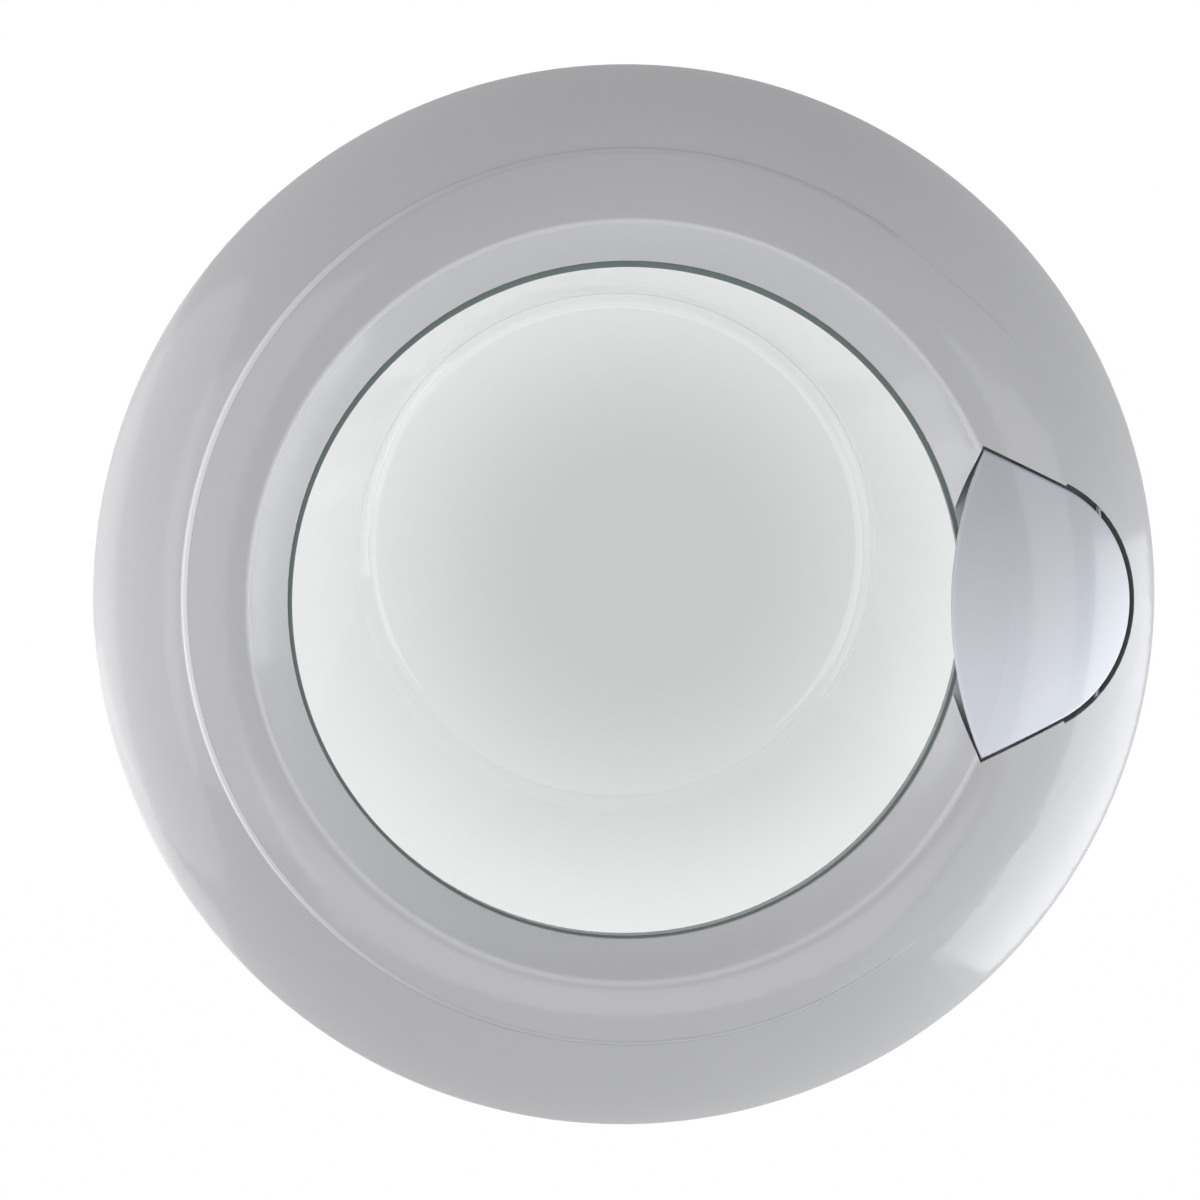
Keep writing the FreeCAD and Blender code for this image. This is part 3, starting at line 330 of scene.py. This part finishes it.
@dataclass(frozen=True)
class EdgePlastic(MouldedPlastic):
    """The plastic of the step's edge, with a painted highlight that makes it lighter towards the hinge."""

    # Painted highlight: the edge is lighter between these distances from the hinge.
    painted_highlight_from: float = 0.03
    painted_highlight_to: float = 0.13
    painted_highlight_tone: Colour = (1.4, 1.4, 1.4)

    def tone(self, shader: Shader) -> bpy.types.NodeSocket:
        """The drifting colour, with a painted highlight near the hinge."""
        away = shader.distance((0.0, 0.0, 0.0), (1.0, 0.0, 0.0))
        near = shader.spread(away, 1.0, 0.0, self.painted_highlight_from, self.painted_highlight_to)
        return shader.times(super().tone(shader), shader.blend(near, WHITE, self.painted_highlight_tone))


@dataclass(frozen=True)
class PressedGlass(Finish):
    """Pressed glass: clear walls, painted shade greying the end pane, and a green tint along the wall."""

    # Painted shade: the end pane greys to this colour round the centre below, standing in for shade seen
    # through the glass.
    painted_shade: Colour = (0.575, 0.576, 0.576)
    painted_shade_centre: Place = (0.206, 0.088, 0.008)
    painted_shade_inner: float = 0.04
    painted_shade_outer: float = 0.2
    tint: Colour = (0.55, 0.8, 0.72)
    tint_density: float = 9.0
    wave_scale: float = 25.0
    wave_depth: float = 0.00002
    index: float = 1.5

    def make(self) -> bpy.types.Material:
        """The finished material."""
        shader = Shader(self.name)
        # Painted shade on the end pane, fading out between the inner and outer distances.
        away = shader.distance(self.painted_shade_centre)
        share = shader.spread(away, 1.0, 0.0, self.painted_shade_inner, self.painted_shade_outer)
        shader.join(shader.blend(share, self.colour, self.painted_shade), shader.surface.inputs["Base Color"])
        shader.raise_surface(shader.noise(self.wave_scale, 1.0), self.wave_depth)
        shader.fix(Roughness=self.roughness, IOR=self.index, Transmission_Weight=1.0)
        depth = shader.add("ShaderNodeVolumeAbsorption")
        depth.inputs["Color"].default_value = (*self.tint, 1.0)
        depth.inputs["Density"].default_value = self.tint_density
        shader.join(depth.outputs["Volume"], shader.output.inputs["Volume"])
        return shader.material


@dataclass(frozen=True)
class Metal(Finish):
    """Bare or plated metal with the grain of its making."""

    grain: Grain = Grain.PLATED
    darkest: float = 0.86
    lightest: float = 1.06
    stain_scale: float = 90.0
    detail: float = 4.0
    smoothest: float = 0.8
    roughest: float = 1.25

    def make(self) -> bpy.types.Material:
        """The finished material."""
        shader = Shader(self.name)
        look = GRAIN_LOOKS[self.grain]
        pattern = shader.noise(look.scale, self.detail, look.stretch)
        darker = scaled(self.colour, self.darkest)
        lighter = scaled(self.colour, self.lightest)
        colour = shader.blend(shader.spread(pattern, 0.0, 1.0), darker, lighter)
        shader.join(colour, shader.surface.inputs["Base Color"])
        stains = shader.noise(self.stain_scale, self.detail)
        smoother = self.roughness * self.smoothest
        rougher = self.roughness * self.roughest
        shader.join(shader.spread(stains, smoother, rougher), shader.surface.inputs["Roughness"])
        shader.raise_surface(pattern, look.depth)
        shader.fix(Metallic=1.0)
        return shader.material


ZINC = Metal("zinc_steel", (0.62, 0.63, 0.64), 0.32)
SPRING_WIRE = Metal("spring_steel", (0.36, 0.36, 0.37), 0.3, Grain.DRAWN)


@dataclass
class SubAssembly:
    """A group of the door's solids with their finishes."""

    body: str

    def finishes(self) -> dict[str, Finish]:
        """The finish of each solid."""
        raise NotImplementedError

    def build(self) -> None:
        """Make the group's own meshes, where it has any."""

    def dress(self, shared: dict[str, bpy.types.Material]) -> None:
        """Give each solid its finish.

        Args:
            shared: The materials made so far, by name.
        """
        for name, finish in self.finishes().items():
            if finish.name not in shared:
                shared[finish.name] = finish.make()
            for solid in (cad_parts[name], bpy.data.objects.get(f"{name}_coil")):
                for place in solid.material_slots if solid else ():
                    place.material = shared[finish.name]
            log.info("%s has the finish %s", name, finish.name)

    def wind(self, name: str, moving: str, start: float, end: float) -> None:
        """Put a copy of a spring in the rigid one's place and hide the rigid one.

        Args:
            name: The spring's solid.
            moving: The body that the log line names.
            start: Not used.
            end: Not used.
        """
        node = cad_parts[name]
        coil = bpy.data.objects.new(f"{name}_coil", node.data.copy())
        bpy.context.scene.collection.objects.link(coil)
        coil.matrix_world = node.matrix_world.copy()
        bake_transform(coil)
        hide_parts(name)
        log.info("%s twists between the door and the %s", coil.name, moving)


@dataclass
class FrontRing(SubAssembly):
    """The moulded ring that makes the door's face, with the crisp edge of its step. Sizes are in metres."""

    body: str = "door"
    crest_radius: float = 0.166
    crest_height: float = 0.038
    dome_radius: float = 0.0832667
    step_radius: float = 0.187888
    step_centre: tuple[float, float] = (0.0012, 0.0011)
    step_left: float = 0.0015
    step_right: float = 0.00027
    slope: float = 1.3
    slope_lap: float = 0.0005
    edge_slope: float = 0.75
    edge_round: float = 0.0003
    edge_lift: float = 0.00012
    edge_sink: float = 0.0004
    edge_start: float = 54.0
    edge_end: float = 306.0
    edge_fade: float = 26.0
    edge_steps: int = 336
    edge_crease: float = 60.0
    corner_drop: float = 0.3
    search_inside: float = 0.004
    search_outside: float = 0.01
    search_steps: int = 40
    weld: float = 0.000002
    crease: float = 19.0
    normal_weight: int = 90
    # The step's edge carries a painted highlight towards the hinge.
    edge_finish: MouldedPlastic = EdgePlastic("step_edge", FACE_COLOUR, 0.3, skin=1.0)

    def finishes(self) -> dict[str, Finish]:
        """The finish of each solid."""
        return {"front_frame": FacePlastic("front_plastic", FACE_COLOUR, 0.34, skin=1.0)}

    def dome(self, radius: float) -> float:
        """Height of the face at a distance from the door's axis."""
        across = radius - self.crest_radius
        return self.crest_height - self.dome_radius + math.sqrt(self.dome_radius ** 2 - across ** 2)

    def band(self, radius: float, x: float) -> float:
        """Height of the outer band, which lies lower towards the hinge.

        Args:
            radius: Distance from the door's axis.
            x: Distance from the axis towards the handle.

        Returns:
            The height in front of the closing plane.
        """
        fall = (self.step_left - self.step_right) / (2.0 * self.step_radius)
        sink = (self.step_left + self.step_right) / 2.0 - fall * x
        lean = math.asin((radius - self.crest_radius) / self.dome_radius)
        return self.dome(radius) - sink / math.cos(lean)

    def spot(self, turn: float, radius: float) -> tuple[float, float, float]:
        """A place on the face.

        Args:
            turn: Angle round the step's middle.
            radius: Distance from the step's middle.

        Returns:
            Its x and z from the door's axis, and its distance from that axis.
        """
        x = self.step_centre[0] + radius * math.cos(turn)
        z = self.step_centre[1] + radius * math.sin(turn)
        return x, z, math.hypot(x, z)

    def meeting(self, gap: Callable[[float], float], low: float, high: float) -> float:
        """The radius at which a gap that falls outwards is zero.

        Args:
            gap: The gap at a radius.
            low: A radius inside it.
            high: A radius outside it.

        Returns:
            The radius.
        """
        for _ in range(self.search_steps):
            middle = (low + high) / 2.0
            if gap(middle) > 0.0:
                low = middle
            else:
                high = middle
        return low

    def edge_section(self, degrees: float) -> list[tuple[float, float]]:
        """The step's crisp edge at one place: a flat top, a rounded corner and a steep wall.

        Args:
            degrees: Angle round the step's middle.

        Returns:
            Points as distance from the step's middle and height.
        """
        turn = math.radians(degrees)
        near_end = min(degrees - self.edge_start, self.edge_end - degrees, self.edge_fade) / self.edge_fade
        slope = self.slope + (self.edge_slope - self.slope) * near_end
        level = self.dome(self.step_radius)
        start = self.step_radius + self.slope_lap

        def wall(radius: float) -> float:
            """Height of the solid's own slope."""
            return level - (radius - start) / self.slope

        def face(radius: float) -> float:
            """Height of the raised face."""
            return self.dome(self.spot(turn, radius)[2])

        def foot(radius: float) -> float:
            """Height of the outer band."""
            x, _, distance = self.spot(turn, radius)
            return self.band(distance, x)

        low = self.step_radius - self.search_inside
        high = self.step_radius + self.search_outside
        inner = self.meeting(lambda radius: wall(radius) - face(radius), low, high)
        outer = self.meeting(lambda radius: wall(radius) - foot(radius), inner, high)
        bottom = foot(outer)
        corner = self.meeting(lambda radius: bottom + (outer - radius) / slope - face(radius), inner, outer)
        top = self.edge_round * near_end
        down = top * near_end
        return [
            (inner, face(inner) + self.edge_lift),
            (max(corner - top, inner), face(max(corner - top, inner)) + self.edge_lift),
            (corner, face(corner) - self.corner_drop * down + self.edge_lift),
            (min(corner + slope * down, outer), face(corner) - down + self.edge_lift),
            (outer, bottom + self.edge_lift),
            (outer, bottom - self.edge_sink),
            (inner, face(inner) - self.edge_sink),
        ]

    def build(self) -> None:
        """Smooth the shading over the face's long thin facets and add the step's edge."""
        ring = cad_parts["front_frame"]
        welded = ring.modifiers.new("welded", "WELD")
        welded.merge_threshold = self.weld
        creased = ring.modifiers.new("creased", "EDGE_SPLIT")
        creased.split_angle = math.radians(self.crease)
        weighted = ring.modifiers.new("weighted", "WEIGHTED_NORMAL")
        weighted.weight = self.normal_weight
        self.build_edge()

    def build_edge(self) -> None:
        """Make the step's crisp edge as one closed strip on the ring."""
        mesh = bpy.data.meshes.new("step_edge")
        shape = bmesh.new()
        rows = []
        for step in range(self.edge_steps + 1):
            degrees = self.edge_start + (self.edge_end - self.edge_start) * step / self.edge_steps
            row = []
            for radius, height in self.edge_section(degrees):
                x, z, _ = self.spot(math.radians(degrees), radius)
                row.append(shape.verts.new(Vector((x, -height, z)) + Vector(CLOSING_PLANE)))
            rows.append(row)
        for first, second in zip(rows, rows[1:]):
            for here in range(len(first)):
                after = (here + 1) % len(first)
                shape.faces.new((first[here], first[after], second[after], second[here]))
        shape.faces.new(rows[0])
        shape.faces.new(rows[-1])
        bmesh.ops.recalc_face_normals(shape, faces=shape.faces)
        shape.to_mesh(mesh)
        shape.free()
        mesh.shade_smooth()
        mesh.set_sharp_from_angle(angle=math.radians(self.edge_crease))
        self.edge = bpy.data.objects.new("step_edge", mesh)
        bpy.context.scene.collection.objects.link(self.edge)
        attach(self.edge, self.body)
        log.info("step_edge has %d faces", len(mesh.polygons))

    def dress(self, shared: dict[str, bpy.types.Material]) -> None:
        """Give the ring its finish and the step's edge its own.

        Args:
            shared: The materials made so far, by name.
        """
        super().dress(shared)
        self.edge.data.materials.append(self.edge_finish.make())


@dataclass
class GlassBowl(SubAssembly):
    """The pressed glass bowl, turned from one section and leaning upwards. Sizes are in metres."""

    body: str = "door"
    seat_height: float = 0.014
    flange_back: float = 0.009
    flange_radius: float = 0.157
    mouth_radius: float = 0.148
    mouth_round: float = 0.0005
    wall: float = 0.005
    taper: float = math.radians(15.0685)
    corner_ring: float = 0.1092707
    corner_depth: float = 0.081
    corner_radius: float = 0.014
    crown: float = math.radians(6.0)
    lean: float = 0.1826923
    turns: int = 256
    arc_steps: int = 14
    pole: float = 0.00001
    crease: float = 40.0
    edge_share: float = 0.0002
    # The lip's opaque dark green-grey is partly the glass edge's own colour and partly painted shade for
    # the gap behind the frame's lip.
    edge_finish: MouldedPlastic = MouldedPlastic("glass_edge", (0.13, 0.17, 0.16), 0.5)

    def finishes(self) -> dict[str, Finish]:
        """The finish of each solid."""
        return {"porthole_glass": PressedGlass("clear_glass", (0.9, 0.905, 0.905), 0.0)}

    def arc(self, centre: tuple[float, float], radius: float, start: float,
            end: float) -> list[tuple[float, float]]:
        """Points on an arc of the section.

        Args:
            centre: Its centre, as distance from the axis and depth behind the closing plane.
            radius: Its radius.
            start: Angle from straight out to straight back at its start.
            end: The same angle at its end.

        Returns:
            Points as distance from the axis and depth.
        """
        points = []
        for step in range(self.arc_steps + 1):
            turn = start + (end - start) * step / self.arc_steps
            points.append((centre[0] + radius * math.cos(turn), centre[1] + radius * math.sin(turn)))
        return points

    def section(self) -> list[tuple[float, float, bool]]:
        """The closed section from the pole outside to the pole inside.

        Returns:
            Points as distance from the axis, depth behind the closing plane, and whether the point leans.
        """
        corner = (self.corner_ring, self.corner_depth)
        crown_radius = self.corner_ring / math.sin(self.crown) + self.corner_radius
        middle = (0.0, self.corner_depth + (self.corner_radius - crown_radius) * math.cos(self.crown))
        back = math.pi / 2.0
        rim = back - self.crown
        side = self.mouth_radius + (self.seat_height - self.flange_back) * math.tan(self.taper)
        mouth = side - self.wall / math.cos(self.taper)
        outside = self.arc(middle, crown_radius, back, rim)
        outside += self.arc(corner, self.corner_radius, rim, self.taper)[1:]
        outside.append((self.mouth_radius, -self.flange_back))
        flange = [(self.flange_radius, -self.flange_back), (self.flange_radius, -self.seat_height)]
        lip = (mouth + self.mouth_round, self.mouth_round - self.seat_height)
        inside = [(lip[0], -self.seat_height)]
        inside += self.arc(lip, self.mouth_round, -back, -math.pi + self.taper)[1:]
        inside += self.arc(corner, self.corner_radius - self.wall, self.taper, rim)
        inside += self.arc(middle, crown_radius - self.wall, rim, back)[1:]
        points = [(*point, True) for point in outside]
        points += [(*point, False) for point in flange]
        return points + [(*point, True) for point in inside]

    def build(self) -> None:
        """Turn the section into the bowl and put it in the plain solid's place."""
        mesh = bpy.data.meshes.new("glass_bowl")
        shape = bmesh.new()
        rings = []
        for radius, depth, leans in self.section():
            shift = self.lean * (self.flange_back + depth) if leans else 0.0
            count = self.turns if radius > self.pole else 1
            ring = []
            for step in range(count):
                turn = 2.0 * math.pi * step / count
                spot = Vector((radius * math.cos(turn), depth, radius * math.sin(turn) + shift))
                ring.append(shape.verts.new(spot + Vector(CLOSING_PLANE)))
            rings.append(ring)
        for first, second in zip(rings, rings[1:]):
            self.span(shape, first, second)
        bmesh.ops.recalc_face_normals(shape, faces=shape.faces)
        shape.to_mesh(mesh)
        shape.free()
        mesh.shade_smooth()
        mesh.set_sharp_from_angle(angle=math.radians(self.crease))
        bowl = bpy.data.objects.new("glass_bowl", mesh)
        bpy.context.scene.collection.objects.link(bowl)
        weighted = bowl.modifiers.new("weighted", "WEIGHTED_NORMAL")
        weighted.keep_sharp = True
        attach(bowl, self.body)
        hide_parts("porthole_glass")
        self.bowl = bowl
        log.info("glass_bowl has %d faces", len(mesh.polygons))

    def span(self, shape: bmesh.types.BMesh, first: list, second: list) -> None:
        """Join two rings of points with faces; a ring of one point is a pole.

        Args:
            shape: The mesh under construction.
            first: Points of one ring.
            second: Points of the next.
        """
        for step in range(self.turns):
            after = (step + 1) % self.turns
            if len(first) == 1:
                shape.faces.new((first[0], second[step], second[after]))
            elif len(second) == 1:
                shape.faces.new((first[step], second[0], first[after]))
            else:
                shape.faces.new((first[step], second[step], second[after], first[after]))

    def dress(self, shared: dict[str, bpy.types.Material]) -> None:
        """Give the solid and the turned bowl the glass finish, and the bowl's lip an opaque dark
        green-grey: the glass edge's own green, darkened with painted shade for the gap behind the frame's
        lip.

        Args:
            shared: The materials made so far, by name.
        """
        super().dress(shared)
        self.bowl.data.materials.append(shared["clear_glass"])
        self.bowl.data.materials.append(self.edge_finish.make())
        # The flange and lip faces nearest the front take the dark edge finish with its painted shade.
        for face in self.bowl.data.polygons:
            depth = face.center.y - CLOSING_PLANE[1]
            face.material_index = 1 if depth < self.edge_share - self.flange_back else 0


@dataclass
class RearRing(SubAssembly):
    """The moulded ring that clamps the glass from behind, with its eight screws."""

    body: str = "door"

    def finishes(self) -> dict[str, Finish]:
        """The finish of each solid."""
        plastic = MouldedPlastic("rear_plastic", (0.46, 0.465, 0.475), 0.5,
                                 grain_scale=1600.0, grain_depth=0.00006)
        return {"rear_frame": plastic, "frame_screws": ZINC}


@dataclass
class PullHandle(SubAssembly):
    """The sprung pull handle on its axle."""

    body: str = "handle"
    coil_start: float = 0.0068
    coil_end: float = 0.0146

    def finishes(self) -> dict[str, Finish]:
        """The finish of each solid."""
        plastic = HandlePlastic("handle_plastic", (0.41, 0.425, 0.465), 0.32, skin=1.0)
        return {"handle": plastic, "handle_pin": SPRING_WIRE, "handle_spring": SPRING_WIRE}

    def build(self) -> None:
        """Put a copy of the handle's spring in the solid's place."""
        self.wind("handle_spring", self.body, self.coil_start, self.coil_end)


@dataclass
class LatchHook(SubAssembly):
    """The hook that goes into the machine's lock, and its spring."""

    body: str = "hook"
    coil_start: float = -0.0068
    coil_end: float = -0.0146

    def finishes(self) -> dict[str, Finish]:
        """The finish of each solid."""
        cast = Metal("hook_metal", (0.5, 0.51, 0.52), 0.42, Grain.CAST)
        return {"latch_hook": cast, "hook_spring": SPRING_WIRE}

    def build(self) -> None:
        """Put a copy of the hook's spring in the solid's place."""
        self.wind("hook_spring", self.body, self.coil_start, self.coil_end)


@dataclass
class SideHinge(SubAssembly):
    """The hinge: cabinet plate, leaf, axle with its clip, bushes and screws."""

    body: str = "hinge_mount"

    def finishes(self) -> dict[str, Finish]:
        """The finish of each solid."""
        cast = Metal("hinge_metal", (0.54, 0.55, 0.56), 0.45, Grain.CAST)
        bush = MouldedPlastic("bush_plastic", (0.02, 0.02, 0.022), 0.42)
        return {
            "hinge_bracket": cast,
            "hinge_arm": cast,
            "hinge_pin": Metal("bright_steel", (0.58, 0.58, 0.59), 0.22, Grain.DRAWN),
            "hinge_pin_clip": SPRING_WIRE,
            "hinge_bush_upper": bush,
            "hinge_bush_lower": bush,
            "arm_screws": ZINC,
        }


class LampForm(Enum):
    """Outline of a soft panel."""

    PANEL = "RECTANGLE"
    OVAL = "ELLIPSE"


@dataclass
class Lamp:
    """One soft panel that faces the door."""

    name: str
    offset: Place
    width: float
    height: float
    power: float
    colour: Colour = WHITE
    form: LampForm = LampForm.PANEL

    def place(self) -> None:
        """Put the panel at its offset from the door's middle, turned to it."""
        data = bpy.data.lights.new(self.name, "AREA")
        data.shape = self.form.value
        data.size = self.width
        data.size_y = self.height
        data.energy = self.power
        data.color = self.colour
        lamp = bpy.data.objects.new(self.name, data)
        lamp.visible_camera = False
        lamp.location = Vector(DOOR_CENTRE) + Vector(self.offset)
        lamp.rotation_euler = (-Vector(self.offset)).to_track_quat("-Z", "Y").to_euler()
        bpy.context.scene.collection.objects.link(lamp)


LAMPS = [
    Lamp("left_side", (-1.25, -0.3, 0.0), 1.4, 2.0, 6.4, form=LampForm.OVAL),
    Lamp("left_back", (-1.2, 0.5, 0.0), 1.25, 1.8, 5.1, form=LampForm.OVAL),
    Lamp("left_back_low", (-1.0, 0.5, -0.55), 0.8, 0.8, 2.0),
    Lamp("right_panel", (1.1, -0.12, -0.45), 1.0, 1.15, 9.0, COOL_WHITE),
    Lamp("front_right_low", (1.0, -1.1, -0.7), 0.9, 0.9, 1.8, COOL_WHITE),
    Lamp("front_left", (-1.0, -1.4, 0.0), 1.2, 1.4, 5.3),
    Lamp("front_right", (1.0, -1.4, 0.0), 0.8, 0.8, 2.0),
    Lamp("front_low", (0.0, -1.5, -0.6), 1.2, 0.5, 2.2),
]


@dataclass
class Studio:
    """A pale floor under a white surround, soft panels, and the camera of the photograph."""

    floor_level: float = -1.1
    floor_size: float = 12.0
    floor_glow: float = 0.85
    floor_light: float = 1.12
    floor_paint: float = 0.6
    fill: float = 0.5
    camera_azimuth: float = -2.5
    camera_elevation: float = 4.0
    camera_distance: float = 1.3
    camera_lens: float = 90.0
    camera_near: float = 0.05
    aim: Place = (0.1812, -0.015, 0.0002)

    def build(self) -> None:
        """Make floor, surround, lamps and camera."""
        bpy.context.scene.view_settings.view_transform = "Standard"
        self.make_surround()
        self.make_floor()
        for lamp in LAMPS:
            lamp.place()
        self.make_camera()
        log.info("studio with %d lamps", len(LAMPS))

    def make_surround(self) -> None:
        """White to the camera and in glass and gloss, and a dimmer fill for the rest of the light."""
        world = bpy.data.worlds.new("white_surround")
        world.use_nodes = True
        bpy.context.scene.world = world
        tree = world.node_tree
        seen = self.seen_share(tree)
        strength = tree.nodes.new("ShaderNodeMapRange")
        strength.inputs["To Min"].default_value = self.fill
        strength.inputs["To Max"].default_value = 1.0
        tree.links.new(seen, strength.inputs["Value"])
        background = tree.nodes["Background"]
        background.inputs["Color"].default_value = (*WHITE, 1.0)
        tree.links.new(strength.outputs["Result"], background.inputs["Strength"])

    def make_floor(self) -> None:
        """A pale floor that is nearly white to the eye and still takes the door's shadow."""
        half = self.floor_size / 2.0
        mesh = bpy.data.meshes.new("floor")
        corners = [(-half, -half, 0.0), (half, -half, 0.0), (half, half, 0.0), (-half, half, 0.0)]
        mesh.from_pydata(corners, [], [(0, 1, 2, 3)])
        floor = bpy.data.objects.new("floor", mesh)
        floor.location = (DOOR_CENTRE[0], 0.0, self.floor_level)
        bpy.context.scene.collection.objects.link(floor)
        material = bpy.data.materials.new("pale_floor")
        material.use_nodes = True
        tree = material.node_tree
        tree.nodes.clear()
        paint = tree.nodes.new("ShaderNodeBsdfDiffuse")
        paint.inputs["Color"].default_value = (self.floor_paint, self.floor_paint, self.floor_paint, 1.0)
        glow = tree.nodes.new("ShaderNodeEmission")
        glow.inputs["Strength"].default_value = self.floor_light
        share = tree.nodes.new("ShaderNodeMath")
        share.operation = "MULTIPLY"
        share.inputs[1].default_value = self.floor_glow
        tree.links.new(self.seen_share(tree), share.inputs[0])
        mix = tree.nodes.new("ShaderNodeMixShader")
        output = tree.nodes.new("ShaderNodeOutputMaterial")
        tree.links.new(share.outputs["Value"], mix.inputs["Fac"])
        tree.links.new(paint.outputs["BSDF"], mix.inputs[1])
        tree.links.new(glow.outputs["Emission"], mix.inputs[2])
        tree.links.new(mix.outputs["Shader"], output.inputs["Surface"])
        mesh.materials.append(material)

    @staticmethod
    def seen_share(tree: bpy.types.NodeTree) -> bpy.types.NodeSocket:
        """One for a ray from the camera, from gloss or through glass, and zero for the rest.

        Args:
            tree: The node tree that needs the value.

        Returns:
            The socket with the value.
        """
        path = tree.nodes.new("ShaderNodeLightPath")
        value = path.outputs["Is Camera Ray"]
        for name in ("Is Glossy Ray", "Is Transmission Ray"):
            either = tree.nodes.new("ShaderNodeMath")
            either.operation = "MAXIMUM"
            tree.links.new(value, either.inputs[0])
            tree.links.new(path.outputs[name], either.inputs[1])
            value = either.outputs["Value"]
        return value

    def make_camera(self) -> None:
        """The camera at the photograph's angle."""
        data = bpy.data.cameras.new("photo_camera")
        data.lens = self.camera_lens
        data.clip_start = self.camera_near
        camera = bpy.data.objects.new("photo_camera", data)
        turn = math.radians(self.camera_azimuth)
        lift = math.radians(self.camera_elevation)
        back = Vector((math.sin(turn) * math.cos(lift), -math.cos(turn) * math.cos(lift), math.sin(lift)))
        camera.location = Vector(self.aim) + back * self.camera_distance
        camera.rotation_euler = back.to_track_quat("Z", "Y").to_euler()
        bpy.context.scene.collection.objects.link(camera)
        bpy.context.scene.camera = camera


def main() -> None:
    """Build and dress each group of the door, then set up the studio."""
    logging.basicConfig(level=logging.INFO)
    materials: dict[str, bpy.types.Material] = {}
    for group in (FrontRing(), GlassBowl(), RearRing(), PullHandle(), LatchHook(), SideHinge()):
        group.build()
        group.dress(materials)
        log.info("%s is done", type(group).__name__)
    Studio().build()


if __name__ == "__main__":
    main()
